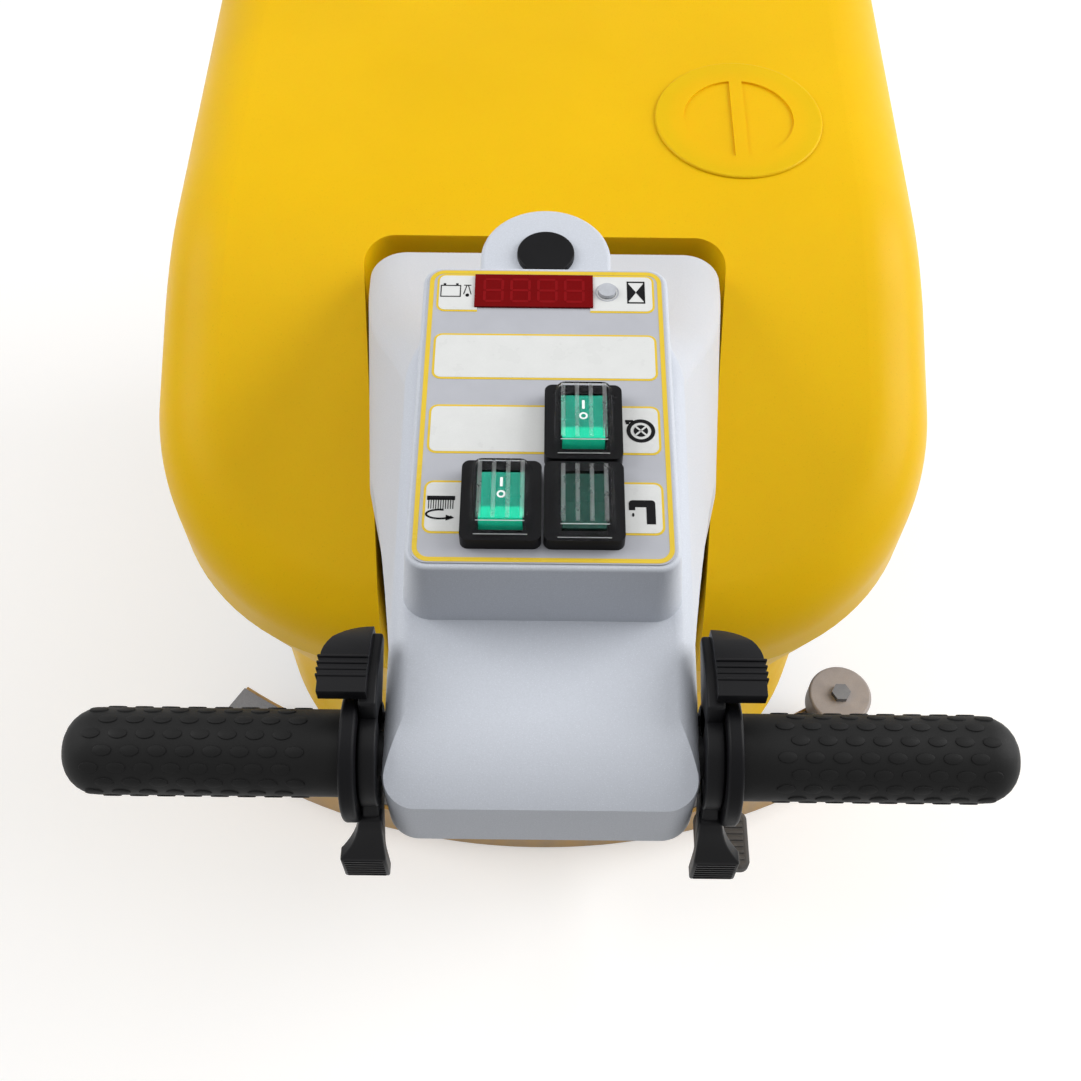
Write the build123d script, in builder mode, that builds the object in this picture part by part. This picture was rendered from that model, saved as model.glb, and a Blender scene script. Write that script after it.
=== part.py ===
"""Walk-behind battery floor scrubber with a tilting recovery tank, a lifting brush deck and a squeegee.

X runs to the operator's right, Y forward and Z up from the floor. Sizes are in millimetres.
"""

import os
from math import asin, cos, degrees, radians, sin, sqrt

from build123d import *

os.makedirs("parts", exist_ok=True)

# Stance and shared clearances
machine_length = 1180
grip_height = 930
grip_inset = 30
shaft_fit = 0.05
face_gap = 0.3
plate_gap = 1
hex_sides = 6

# Brush and its drive
brush_diameter = 508
bristle_length = 38
bristle_flare = 10
bristle_bore = 90
block_thickness = 20
block_bore = 45
lug_count = 3
lug_circle = 85
lug_radius = 7
lug_length = 12
hub_radius = 110
hub_thickness = 12
drive_shaft_radius = 12
drive_shaft_length = 42
drive_shaft_end_gap = 1
gearbox_radius = 80
gearbox_height = 45
gearbox_round = 8
brush_motor_radius = 62
brush_motor_height = 150
brush_motor_round = 14

# Brush deck
brush_clearance = 10
cover_headroom = 6
cover_plate = 6
cover_wall = 4
cover_rim = 34
cover_bore = 30
cover_round = 5
skirt_thickness = 4
skirt_height = 64
skirt_floor_gap = 6

# Parallel arms that carry the deck
deck_lift = 40
deck_arm_length = 120
deck_arm_thickness = 6
deck_arm_radius = 14
deck_arm_spread = 85
lower_pin_rise = 68
deck_pin_offset = 17
deck_pin_radius = 6
arm_pin_radius = 8
arm_tube_radius = 10
upright_clearance = 8
upright_thickness = 8
upright_width = 32
upright_round = 8
arm_bracket_thickness = 6
arm_bracket_width = 27
arm_bracket_round = 9

# Main wheels
wheel_radius = 120
wheel_width = 40
wheel_inner_x = 212
wheel_deck_gap = 10
tyre_depth = 25
tyre_round = 8
rim_thickness = 12
hub_boss_radius = 24
hub_boss_overhang = 2
hub_web = 14
hub_hole_radius = 16
hub_hole_circle = 52
hub_hole_count = 5
axle_radius = 10
axle_nut_radius = 16
axle_nut_thickness = 10
axle_end = 2

# Casters
caster_x = 115
caster_offset = 125
caster_radius = 40
caster_width = 28
caster_trail = 30
caster_round = 5
caster_plate_size = 64
caster_plate_thickness = 4
caster_race_radius = 26
caster_race_height = 14
kingpin_radius = 8
kingpin_length = 12
fork_crown_radius = 24
fork_crown_height = 15
fork_leg_thickness = 4
fork_boss_radius = 12
caster_axle_radius = 5

# Chassis
plate_bottom = 140
plate_thickness = 6
plate_half_width = 185
plate_rear_offset = 222
plate_front_offset = 132
tongue_half_width = 118
bracket_thickness = 8
axle_bracket_radius = 22
axle_bracket_x = 172

# Lower yellow body, which is the solution tank around the battery bay
body_half_width = 262
body_rear_offset = 288
body_rear_radius = 215
body_front_radius = 110
body_top = 470
body_wall = 5
body_recess_offset = 240
body_recess_top = 240
nose_bottom = 345
nose_setback = 30
nose_step_gap = 16
arch_gap = 16
arch_inset = 6
bay_half_width = 181
bay_rear_offset = 205
bay_length = 337
bay_floor_thickness = 6
battery_width = 172
battery_length = 328
battery_height = 215
battery_round = 4
terminal_radius = 9
terminal_height = 14
terminal_inset = 27
battery_gap = 4
filler_radius = 34
filler_depth = 22
filler_drop = 58
filler_cap_radius = 44
filler_cap_thickness = 10
filler_bar_length = 70
filler_bar_width = 9
filler_bar_height = 9
filler_bar_round = 3

# Recovery tank and its hood
tank_half_width = 256
tank_rear_offset = 377.6
tank_front_setback = 120
tank_rear_radius = 162
tank_front_radius = 130
tank_base_gap = 8
tank_seam = 598
tank_taper = 18.4
tank_wall = 5
hood_height = 147
hood_round = 48
hood_crease_round = 250
hood_wall_slope = 0.5
hood_crease_offset = 133.6
hood_rear_drop = 100
notch_front_offset = 133.6
notch_front_half = 119
notch_rear_half = 100
notch_corner = 20
vacuum_pocket_radius = 86
vacuum_pocket_drop = 10
vacuum_setback = 140
vacuum_radius = 72
vacuum_floor_gap = 12
vacuum_cap_radius = 54
recovery_cap_x = 133
recovery_cap_offset = -25.6
recovery_neck_radius = 49
recovery_cap_radius = 58
recovery_cap_rise = 1.6
recovery_cap_depth = 18
recovery_cap_round = 1.4
cap_dish_radius = 38
cap_dish_depth = 1.5
cap_bar_width = 9
hinge_x = 150
hinge_forward = 18
hinge_drop = 8
hinge_pin_radius = 6
hinge_ear_radius = 11
hinge_ear_thickness = 8
hinge_knuckle_width = 13

# Handle column and its steel mast
column_gap = 7
column_front_gap = 20
column_rear_offset = 357.6
column_rear_half = 97
column_corner = 22
column_skin = 5
neck_low_share = 0.224
neck_low_rear_share = 0.072
neck_low_front_share = 0.287
neck_low_width_share = 0.14
neck_mid_share = 0.612
neck_mid_rear_share = 0.448
neck_mid_front_share = 0.655
neck_mid_width_share = 0.57
mast_width = 60
mast_depth = 40
mast_clearance = 4
mast_wall = 4
mast_offset = 233.6
mast_bend_drop = 55
mast_bend_radius = 70
mast_top_inset = 71
saddle_plate = 4
saddle_drop = 15
saddle_plate_half_width = 50
saddle_x = 25
saddle_width = 10
saddle_length = 24

# Console on the handle head
head_overhang = 22
head_half_width = 56
head_front_half_width = 60
head_front_margin = 11
head_cover = 13
head_thickness = 40
head_corner = 12
head_front_corner = 40
head_round = 8
head_roll = 32
head_roll_drop = 10
shell_wall = 4
panel_setback = 73
panel_length = 143
panel_half_width = 49.2
panel_rise = 32
panel_draft = 4.4
panel_corner = 8
panel_round = 1.6
tab_length = 54
tab_half_width = 28
tab_rise = 12
tab_round = 2
plug_radius = 12.3
plug_stem_radius = 9
plug_thickness = 2.5
plug_round = 0.8
plug_stem_length = 8
label_margin = 0.4
label_thickness = 0.6

# Switches, display and button on the panel
frame_width = 29
frame_length = 34.2
frame_height = 6
frame_body_width = 24.6
frame_body_length = 30.4
frame_body_depth = 23
frame_cavity_depth = 17
rocker_width = 15.6
rocker_length = 21.5
rocker_play = 0.3
rocker_end_room = 2
rocker_height = 17
rocker_foot = 12
rocker_top_over_axis = 9
rocker_tilt = 7
rocker_pin_radius = 1.5
rocker_pin_length = 1.3
boot_height = 7
boot_wall = 0.8
boot_margin = 3
boot_round = 3
cutout_play = 0.2
upper_switch_x = 14.5
lower_right_switch_x = 14.5
lower_left_switch_x = -15.3
lower_row_inset = 24.9
row_pitch = 35.4
display_x = -4.7
display_inset = 129.3
display_width = 47.5
display_length = 17
display_thickness = 1.5
display_lip = 1.6
display_module_gap = 1.6
button_x = 24.7
button_radius = 3.5
button_travel = 0.8
button_rise = 2
button_length = 12
board_width = 84
board_length = 46
board_thickness = 1.6
board_post_radius = 3
board_post_length = 13

# Handlebar, grips and levers
bar_radius = 8
bar_wall = 2.5
grip_radius = 16
grip_length = 101
grip_end_wall = 4
grip_end_round = 13
flange_radius = 24.5
flange_thickness = 5.7
flange_round = 1.5
lever_gap = 1.6
lever_hub_thickness = 6.4
lever_hub_radius = 19
lever_peg_radius = 2
lever_peg_circle = 14
lever_peg_length = 14
lever_peg_play = 2
lever_swing = 12
paddle_reach = 20
paddle_near = 9.5
paddle_flat = 12
paddle_far = 40
paddle_rise = 31
paddle_thickness = 6
paddle_front_drop = 9
paddle_corner = 14
rear_paddle_reach = 17
rear_paddle_setback = 31
rear_paddle_drop = 24
rear_paddle_height = 18
rear_paddle_thickness = 5
microswitch_width = 10
microswitch_length = 14
microswitch_gap = 1

# Deck pedal at the right rear
pedal_x = 165
pedal_pivot_offset = 258
pedal_pivot_z = 195
pedal_pin_radius = 6
pedal_hub_radius = 13
pedal_bracket_x = 148
pedal_bracket_thickness = 6
pedal_bracket_foot = 24
pedal_arm_thickness = 10
pedal_arm_depth = 12
pedal_pad_width = 48
pedal_pad_length = 54
pedal_pad_thickness = 12
pedal_pad_reach = 67
pedal_pad_base = 200
pedal_pad_round = 4

# Squeegee, its arm and its lift linkage
squeegee_rear_offset = 288
squeegee_radius = 650
squeegee_depth = 60
squeegee_half_angle = 32.7
blade_thickness = 4
blade_height = 56
squeegee_plate_bottom = 48
squeegee_plate_top = 60
squeegee_lip_bottom = 30
squeegee_lip = 5
port_x = 62
port_radius = 24
port_bore = 20
port_height = 32
squeegee_tongue_half = 30
squeegee_tongue_length = 44
squeegee_tongue_thickness = 6
roller_angle = 31.8
roller_inset = 48.4
roller_radius = 33
roller_height = 28
roller_gap = 3
roller_bolt_radius = 6
roller_bolt_head = 10
knob_radius = 9
knob_sides = 8
knob_height = 16
knob_inset = 14
knob_angles = (-26.5, -15.5, -4.5, 11, 18.5, 26.5)
squeegee_pivot_offset = 88
squeegee_pivot_z = 112
squeegee_pin_radius = 6
squeegee_tube_radius = 12
squeegee_bracket_x = 28
squeegee_bracket_thickness = 6
squeegee_arm_half = 22
squeegee_arm_thickness = 12
squeegee_arm_flat = 96
squeegee_arm_end_offset = 280
swing_offset = 208
swing_pin_radius = 8
swing_head_radius = 11
swing_head_height = 6
link_offset = 268
link_pin_z = 95
link_half = 4
link_width = 16
link_pin_radius = 4
link_ear_gap = 0.5
link_ear_thickness = 4
lift_hub_setback = 45
lift_hub_z = 262
lift_hub_radius = 13
lift_hub_half = 13
lift_pin_radius = 6
lift_ear_x = 14
lift_ear_thickness = 6
lift_swing = 24.5
lift_handle_length = 38
lift_handle_rise = 18
lift_handle_half = 10
lift_handle_thickness = 12
lift_pad_half = 34
lift_pad_length = 30
link_slot_play = 0.8
link_slot_travel = 5

# Solution valve under the body
valve_x = -140
valve_forward = 28.4
valve_width = 34
valve_length = 28
valve_height = 30
valve_round = 5
valve_coil_radius = 13
valve_coil_length = 24

# Places worked out from the sizes above
brush_radius = brush_diameter / 2
cover_radius = brush_radius + brush_clearance + cover_wall
skirt_radius = cover_radius + skirt_thickness
brush_y = machine_length / 2 - skirt_radius
grip_y = -machine_length / 2 + grip_inset
head_rear_y = grip_y - head_overhang

block_top = bristle_length + block_thickness
hub_top = block_top + hub_thickness
cover_bottom = hub_top + cover_headroom
cover_top = cover_bottom + cover_plate
gearbox_top = cover_top + gearbox_height

arm_slope = degrees(asin(deck_lift / 2 / deck_arm_length))
deck_pin_y = brush_y + deck_pin_offset
lower_pin_z = cover_top + lower_pin_rise
upper_pin_z = lower_pin_z + deck_arm_spread
arm_pivot_y = deck_pin_y - deck_arm_length * cos(radians(arm_slope))
arm_pivot_rise = deck_lift / 2
upright_x = gearbox_radius + upright_clearance
arm_x = upright_x + upright_thickness + plate_gap
arm_bracket_x = arm_x + deck_arm_thickness + plate_gap

axle_y = brush_y - sqrt(skirt_radius**2 - wheel_inner_x**2) - wheel_radius - wheel_deck_gap
plate_top = plate_bottom + plate_thickness
plate_rear_y = axle_y - plate_rear_offset
plate_front_y = axle_y + plate_front_offset
caster_y = axle_y - caster_offset
wheel_outer_x = wheel_inner_x + wheel_width

body_rear_y = axle_y - body_rear_offset
body_recess_y = axle_y - body_recess_offset
body_step_y = arm_pivot_y - nose_step_gap
tank_rear_y = axle_y - tank_rear_offset
tank_front_y = machine_length / 2 - tank_front_setback
tank_top = tank_seam + hood_height
hood_crease_y = axle_y - hood_crease_offset
notch_front_y = axle_y - notch_front_offset
nose_front_y = tank_front_y - nose_setback
tank_base = body_top + tank_base_gap
bay_rear_y = axle_y - bay_rear_offset
bay_floor = plate_top + bay_floor_thickness
filler_z = body_top - filler_drop
hinge_y = nose_front_y + hinge_forward
hinge_z = body_top - hinge_drop
vacuum_y = tank_front_y - vacuum_setback
vacuum_pocket_top = tank_seam - vacuum_pocket_drop
vacuum_height = vacuum_pocket_top - tank_base - vacuum_floor_gap
recovery_cap_y = axle_y + recovery_cap_offset

head_top = grip_height + head_cover
head_bottom = head_top - head_thickness
head_roll_radius = (head_roll**2 + head_roll_drop**2) / (2 * head_roll_drop)
panel_near_y = head_rear_y + panel_setback
panel_far_y = panel_near_y + panel_length
head_front_y = panel_far_y + head_front_margin
panel_top = head_top + panel_rise
tab_top = head_top + tab_rise
tab_centre_y = panel_far_y + tab_length - tab_half_width
label_top = panel_top + label_thickness
lower_row_y = panel_near_y + lower_row_inset
upper_row_y = lower_row_y + row_pitch
display_y = panel_near_y + display_inset
frame_top = label_top + frame_height
rocker_axis_z = label_top - rocker_pin_radius
switch_spots = (
    (upper_switch_x, upper_row_y),
    (lower_right_switch_x, lower_row_y),
    (lower_left_switch_x, lower_row_y),
)

lever_inner_x = head_half_width + lever_gap
lever_outer_x = lever_inner_x + lever_hub_thickness
flange_inner_x = lever_outer_x + face_gap
grip_inner_x = flange_inner_x + flange_thickness
grip_outer_x = grip_inner_x + grip_length

column_rear_y = axle_y - column_rear_offset
column_front_y = notch_front_y - column_front_gap
column_front_half = notch_front_half - column_gap
mast_y = axle_y - mast_offset
mast_bend_z = tank_top - mast_bend_drop
mast_top_y = head_front_y - mast_top_inset
saddle_base = grip_height - saddle_drop
mast_top_z = saddle_base - saddle_plate

squeegee_centre_y = axle_y - squeegee_rear_offset + squeegee_radius
blade_rear_inner = squeegee_radius - blade_thickness
body_rear_arc = blade_rear_inner - shaft_fit
blade_front_outer = squeegee_radius - squeegee_depth
body_front_arc = blade_front_outer + shaft_fit
blade_front_inner = blade_front_outer - blade_thickness
squeegee_pivot_y = axle_y - squeegee_pivot_offset
swing_y = axle_y - swing_offset
link_y = axle_y - link_offset
lift_hub_y = link_y - lift_hub_setback
tongue_top = squeegee_plate_top + squeegee_tongue_thickness
arm_flat_bottom = tongue_top + face_gap
pedal_pivot_y = axle_y - pedal_pivot_offset
sides = ((-1, "left"), (1, "right"))


def ring_sector(inner, outer, half_angle, centre_y):
    """A plan of a curved band that bulges to the rear, about a centre ahead of it."""
    left = -90 - half_angle
    with BuildSketch() as band:
        with BuildLine():
            far = CenterArc((0, centre_y), outer, left, 2 * half_angle)
            near = CenterArc((0, centre_y), inner, left, 2 * half_angle)
            Line(far @ 0, near @ 0)
            Line(far @ 1, near @ 1)
        make_face()
    return band.sketch


def rounded_plan(half_width, rear_y, front_y, rear_radius, front_radius):
    """A plan rectangle with one radius at the rear corners and one at the front corners."""
    with BuildSketch() as plan:
        with Locations((0, (rear_y + front_y) / 2)):
            Rectangle(2 * half_width, front_y - rear_y)
        fillet(plan.vertices().group_by(Axis.Y)[0], rear_radius)
        fillet(plan.vertices().group_by(Axis.Y)[-1], front_radius)
    return plan.sketch


def notch_plan(skin):
    """The plan of the notch that the handle column stands in, widened by skin."""
    rear_y = tank_rear_y - notch_corner
    slope = (notch_front_half - notch_rear_half) / (notch_front_y - tank_rear_y)
    rear_half = notch_rear_half - slope * notch_corner + skin
    front_half = notch_front_half + skin
    front_y = notch_front_y + skin
    with BuildSketch() as plan:
        with BuildLine():
            Polyline(
                (-rear_half, rear_y),
                (rear_half, rear_y),
                (front_half, front_y),
                (-front_half, front_y),
                close=True,
            )
        make_face()
        fillet(plan.vertices().group_by(Axis.Y)[-1], notch_corner + skin)
    return plan.sketch


def column_section(height, rear_y, front_y, rear_half, front_half, rear_corner, front_corner):
    """One level section of the handle column."""
    with BuildSketch(Plane.XY.offset(height)) as section:
        with BuildLine():
            Polyline(
                (-rear_half, rear_y),
                (rear_half, rear_y),
                (front_half, front_y),
                (-front_half, front_y),
                close=True,
            )
        make_face()
        fillet(section.vertices().group_by(Axis.Y)[0], rear_corner)
        fillet(section.vertices().group_by(Axis.Y)[-1], front_corner)
    return section.sketch


def head_section(height, skin):
    """A level section of the handle head, drawn in by skin."""
    return column_section(
        height,
        head_rear_y + skin,
        head_front_y - skin,
        head_half_width - skin,
        head_front_half_width - skin,
        head_corner - skin,
        head_front_corner - skin,
    )


def arm_slot(pivot_z):
    """The side view of one deck arm, from its chassis pivot down to its deck pin."""
    middle_y = (arm_pivot_y + deck_pin_y) / 2
    with BuildSketch() as side_view:
        with Locations(Location((middle_y, pivot_z - arm_pivot_rise / 2), -arm_slope)):
            SlotCenterToCenter(deck_arm_length, 2 * deck_arm_radius)
        with Locations((deck_pin_y, pivot_z - arm_pivot_rise)):
            Circle(deck_pin_radius + shaft_fit, mode=Mode.SUBTRACT)
    return side_view.sketch


# Chassis frame: base plate, axle brackets, deck arm brackets, squeegee brackets and pedal bracket
with BuildPart() as chassis_frame:
    with BuildSketch(Plane.XY.offset(plate_bottom)):
        with Locations((0, (plate_rear_y + plate_front_y) / 2)):
            Rectangle(2 * plate_half_width, plate_front_y - plate_rear_y)
        tongue_front_y = arm_pivot_y + arm_bracket_width / 2
        with Locations((0, (plate_front_y + tongue_front_y) / 2)):
            Rectangle(2 * tongue_half_width, tongue_front_y - plate_front_y)
        mast_foot_y = mast_y - mast_depth / 2
        with Locations((0, (plate_rear_y + mast_foot_y) / 2)):
            Rectangle(mast_width + 2 * bracket_thickness, abs(plate_rear_y - mast_foot_y))
        bracket_rear_y = pedal_pivot_y - pedal_hub_radius
        with Locations((pedal_bracket_x, (plate_rear_y + bracket_rear_y) / 2)):
            Rectangle(pedal_bracket_foot, plate_rear_y - bracket_rear_y)
    extrude(amount=plate_thickness)
    for side, _ in sides:
        with BuildSketch(Plane.YZ.offset(side * axle_bracket_x)):
            with Locations((axle_y, wheel_radius)):
                Circle(axle_bracket_radius)
            with Locations((axle_y, (wheel_radius + plate_bottom) / 2)):
                Rectangle(2 * axle_bracket_radius, plate_bottom - wheel_radius)
            with Locations((axle_y, wheel_radius)):
                Circle(axle_radius + shaft_fit, mode=Mode.SUBTRACT)
        extrude(amount=side * bracket_thickness)
        with BuildSketch(Plane.YZ.offset(side * arm_bracket_x)):
            bracket_top = upper_pin_z + arm_pivot_rise + arm_bracket_width / 2
            with Locations((arm_pivot_y, (plate_bottom + bracket_top) / 2)):
                RectangleRounded(arm_bracket_width, bracket_top - plate_bottom, arm_bracket_round)
            with Locations((arm_pivot_y, plate_bottom + plate_thickness / 2)):
                Rectangle(arm_bracket_width, plate_thickness)
            with Locations(
                (arm_pivot_y, lower_pin_z + arm_pivot_rise),
                (arm_pivot_y, upper_pin_z + arm_pivot_rise),
            ):
                Circle(arm_pin_radius + shaft_fit, mode=Mode.SUBTRACT)
        extrude(amount=side * arm_bracket_thickness)
        with BuildSketch(Plane.YZ.offset(side * squeegee_bracket_x)):
            with Locations((squeegee_pivot_y, squeegee_pivot_z)):
                Circle(squeegee_tube_radius + plate_gap)
            with Locations((squeegee_pivot_y, (squeegee_pivot_z + plate_bottom) / 2)):
                Rectangle(2 * (squeegee_tube_radius + plate_gap), plate_bottom - squeegee_pivot_z)
            with Locations((squeegee_pivot_y, squeegee_pivot_z)):
                Circle(squeegee_pin_radius + shaft_fit, mode=Mode.SUBTRACT)
        extrude(amount=side * squeegee_bracket_thickness)
    with BuildSketch(Plane.YZ.offset(pedal_bracket_x)):
        with Locations((pedal_pivot_y, pedal_pivot_z)):
            Circle(pedal_hub_radius)
        with Locations((pedal_pivot_y, (plate_bottom + pedal_pivot_z) / 2)):
            Rectangle(2 * pedal_hub_radius, pedal_pivot_z - plate_bottom)
        with Locations((pedal_pivot_y, pedal_pivot_z)):
            Circle(pedal_pin_radius + shaft_fit, mode=Mode.SUBTRACT)
    extrude(amount=pedal_bracket_thickness)
chassis_frame.part.label = "chassis_frame"
export_step(chassis_frame.part, "parts/chassis_frame.step")

# Main axle and the nuts at its ends
axle_half = wheel_outer_x + hub_boss_overhang + face_gap + axle_nut_thickness + axle_end
with BuildPart() as main_axle:
    with BuildSketch(Plane.YZ):
        with Locations((axle_y, wheel_radius)):
            Circle(axle_radius)
    extrude(amount=axle_half, both=True)
main_axle.part.label = "main_axle"
export_step(main_axle.part, "parts/main_axle.step")

with BuildPart() as axle_nuts:
    for side, _ in sides:
        with BuildSketch(Plane.YZ.offset(side * (axle_half - axle_end))):
            with Locations((axle_y, wheel_radius)):
                RegularPolygon(axle_nut_radius, hex_sides)
                Circle(axle_radius + shaft_fit, mode=Mode.SUBTRACT)
        extrude(amount=-side * axle_nut_thickness)
axle_nuts.part.label = "axle_nuts"
export_step(axle_nuts.part, "parts/axle_nuts.step")

# Main wheels: a webbed hub and a tyre on each side
rim_radius = wheel_radius - tyre_depth
for side, name in sides:
    wheel_plane = Plane(
        origin=(side * (wheel_inner_x + wheel_width / 2), axle_y, wheel_radius),
        x_dir=(1, 0, 0),
        z_dir=(0, -1, 0),
    )
    wheel_axis = Axis(wheel_plane.origin, (1, 0, 0))
    hub_bore = axle_radius + shaft_fit
    boss_half = wheel_width / 2 + hub_boss_overhang
    rim_inside = rim_radius - rim_thickness
    with BuildPart() as wheel_hub:
        with BuildSketch(wheel_plane):
            with Locations((0, (hub_bore + hub_boss_radius) / 2)):
                Rectangle(2 * boss_half, hub_boss_radius - hub_bore)
            with Locations((0, (hub_boss_radius + rim_inside) / 2)):
                Rectangle(hub_web, rim_inside - hub_boss_radius)
            with Locations((0, rim_radius - rim_thickness / 2)):
                Rectangle(wheel_width, rim_thickness)
        revolve(axis=wheel_axis)
        with BuildSketch(Plane(wheel_plane.origin, x_dir=(0, 1, 0), z_dir=(1, 0, 0))):
            with PolarLocations(hub_hole_circle, hub_hole_count):
                Circle(hub_hole_radius)
        extrude(amount=hub_web, both=True, mode=Mode.SUBTRACT)
    wheel_hub.part.label = f"{name}_wheel_hub"
    export_step(wheel_hub.part, f"parts/{name}_wheel_hub.step")

    with BuildPart() as wheel_tyre:
        with BuildSketch(wheel_plane) as tyre_section:
            with Locations((0, wheel_radius - tyre_depth / 2 + shaft_fit / 2)):
                Rectangle(wheel_width, tyre_depth - shaft_fit)
            fillet(tyre_section.vertices().group_by(Axis.Z)[-1], tyre_round)
        revolve(axis=wheel_axis)
    wheel_tyre.part.label = f"{name}_wheel_tyre"
    export_step(wheel_tyre.part, f"parts/{name}_wheel_tyre.step")

# Casters: fixed top plates with kingpins, and on each side a fork and a wheel that trails behind it
race_bottom = plate_bottom - caster_plate_thickness - caster_race_height
crown_top = race_bottom - face_gap
crown_bottom = crown_top - fork_crown_height
with BuildPart() as caster_plates:
    for side, _ in sides:
        with BuildSketch(Plane.XY.offset(plate_bottom)):
            with Locations((side * caster_x, caster_y)):
                RectangleRounded(caster_plate_size, caster_plate_size, caster_plate_thickness)
        extrude(amount=-caster_plate_thickness)
        with BuildSketch(Plane.XY.offset(plate_bottom)):
            with Locations((side * caster_x, caster_y)):
                Circle(caster_race_radius)
        extrude(amount=race_bottom - plate_bottom)
        with BuildSketch(Plane.XY.offset(race_bottom)):
            with Locations((side * caster_x, caster_y)):
                Circle(kingpin_radius)
        extrude(amount=-kingpin_length)
caster_plates.part.label = "caster_plates"
export_step(caster_plates.part, "parts/caster_plates.step")

for side, name in sides:
    caster_middle = side * caster_x
    axle_place = (caster_y - caster_trail, caster_radius)
    leg_inner = caster_width / 2 + plate_gap
    with BuildPart() as caster_fork:
        with BuildSketch(Plane.XY.offset(crown_bottom)):
            with Locations((caster_middle, caster_y)):
                Circle(fork_crown_radius)
                Circle(kingpin_radius + shaft_fit, mode=Mode.SUBTRACT)
        extrude(amount=fork_crown_height)
        for leg in (-1, 1):
            with BuildSketch(Plane.YZ.offset(caster_middle + leg * leg_inner)):
                with BuildLine():
                    crown_half = fork_crown_radius - fork_leg_thickness
                    Polyline(
                        (caster_y - crown_half, crown_bottom + fork_leg_thickness),
                        (caster_y + crown_half, crown_bottom + fork_leg_thickness),
                        (axle_place[0] + fork_boss_radius, axle_place[1]),
                        (axle_place[0] - fork_boss_radius, axle_place[1]),
                        close=True,
                    )
                make_face()
                with Locations(axle_place):
                    Circle(fork_boss_radius)
            extrude(amount=leg * fork_leg_thickness)
        with BuildSketch(Plane.YZ.offset(caster_middle)):
            with Locations(axle_place):
                Circle(caster_axle_radius)
        extrude(amount=leg_inner + fork_leg_thickness, both=True)
    caster_fork.part.label = f"{name}_caster_fork"
    export_step(caster_fork.part, f"parts/{name}_caster_fork.step")

    with BuildPart() as caster_wheel:
        with BuildSketch(Plane.YZ.offset(caster_middle)):
            with Locations(axle_place):
                Circle(caster_radius)
                Circle(caster_axle_radius + shaft_fit, mode=Mode.SUBTRACT)
        extrude(amount=caster_width / 2, both=True)
        rim_edges = caster_wheel.edges().filter_by(GeomType.CIRCLE)
        fillet(rim_edges.filter_by(lambda edge: edge.radius == caster_radius), caster_round)
    caster_wheel.part.label = f"{name}_caster_wheel"
    export_step(caster_wheel.part, f"parts/{name}_caster_wheel.step")


def body_form(skin):
    """The lower body's form, drawn in by skin on every wall."""
    arch_radius = wheel_radius + arch_gap + skin
    arch_inner_x = wheel_inner_x - arch_inset - skin
    groove_half = mast_width / 2 + mast_clearance + skin
    with BuildPart() as form:
        with BuildSketch(Plane.XY.offset(plate_top + skin)):
            add(
                rounded_plan(
                    body_half_width - skin,
                    body_rear_y + skin,
                    nose_front_y - skin,
                    body_rear_radius - skin,
                    body_front_radius - skin,
                )
            )
        extrude(amount=body_top - plate_top - 2 * skin)
        with BuildSketch(Plane.YZ):
            recess_top = body_recess_top + skin
            with Locations((body_recess_y + skin, recess_top)):
                Rectangle(body_rear_offset, body_top, align=(Align.MAX, Align.MAX))
            with Locations((body_step_y - skin, nose_bottom + skin)):
                Rectangle(body_rear_offset * 2, body_top, align=(Align.MIN, Align.MAX))
        extrude(amount=2 * body_half_width, both=True, mode=Mode.SUBTRACT)
        for side, _ in sides:
            with BuildSketch(Plane.YZ.offset(side * arch_inner_x)):
                with Locations((axle_y, wheel_radius)):
                    Circle(arch_radius)
            extrude(amount=side * body_half_width, mode=Mode.SUBTRACT)
        with BuildSketch(Plane.XY.offset(bay_floor - skin)):
            with Locations((0, bay_rear_y - skin)):
                Rectangle(
                    2 * (bay_half_width + skin), bay_length + 2 * skin, align=(Align.CENTER, Align.MIN)
                )
        extrude(amount=body_top, mode=Mode.SUBTRACT)
        with BuildSketch(Plane.XY):
            with Locations((0, mast_y + mast_depth / 2 + plate_gap + skin)):
                Rectangle(2 * groove_half, body_rear_offset, align=(Align.CENTER, Align.MAX))
        extrude(amount=2 * body_top, mode=Mode.SUBTRACT)
        with BuildSketch(Plane.XZ.offset(-nose_front_y)):
            with Locations((0, filler_z)):
                Circle(filler_radius + shaft_fit + skin)
        extrude(amount=filler_depth + skin, mode=Mode.SUBTRACT)
    return form.part


# Lower yellow body with its battery bay, wheel arches, mast groove, filler socket and hinge ears
with BuildPart() as solution_tank:
    add(body_form(0))
    add(body_form(body_wall), mode=Mode.SUBTRACT)
    for side, _ in sides:
        for ear in (-1, 1):
            ear_x = side * hinge_x + ear * (hinge_knuckle_width / 2 + face_gap)
            with BuildSketch(Plane.YZ.offset(ear_x)):
                with Locations((hinge_y, hinge_z)):
                    Circle(hinge_ear_radius)
                with Locations((hinge_y, hinge_z)):
                    Rectangle(
                        hinge_forward + body_wall, 2 * hinge_ear_radius, align=(Align.MAX, Align.CENTER)
                    )
                with Locations((hinge_y, hinge_z)):
                    Circle(hinge_pin_radius + shaft_fit, mode=Mode.SUBTRACT)
            extrude(amount=ear * hinge_ear_thickness)
solution_tank.part.label = "solution_tank"
export_step(solution_tank.part, "parts/solution_tank.step")

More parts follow.
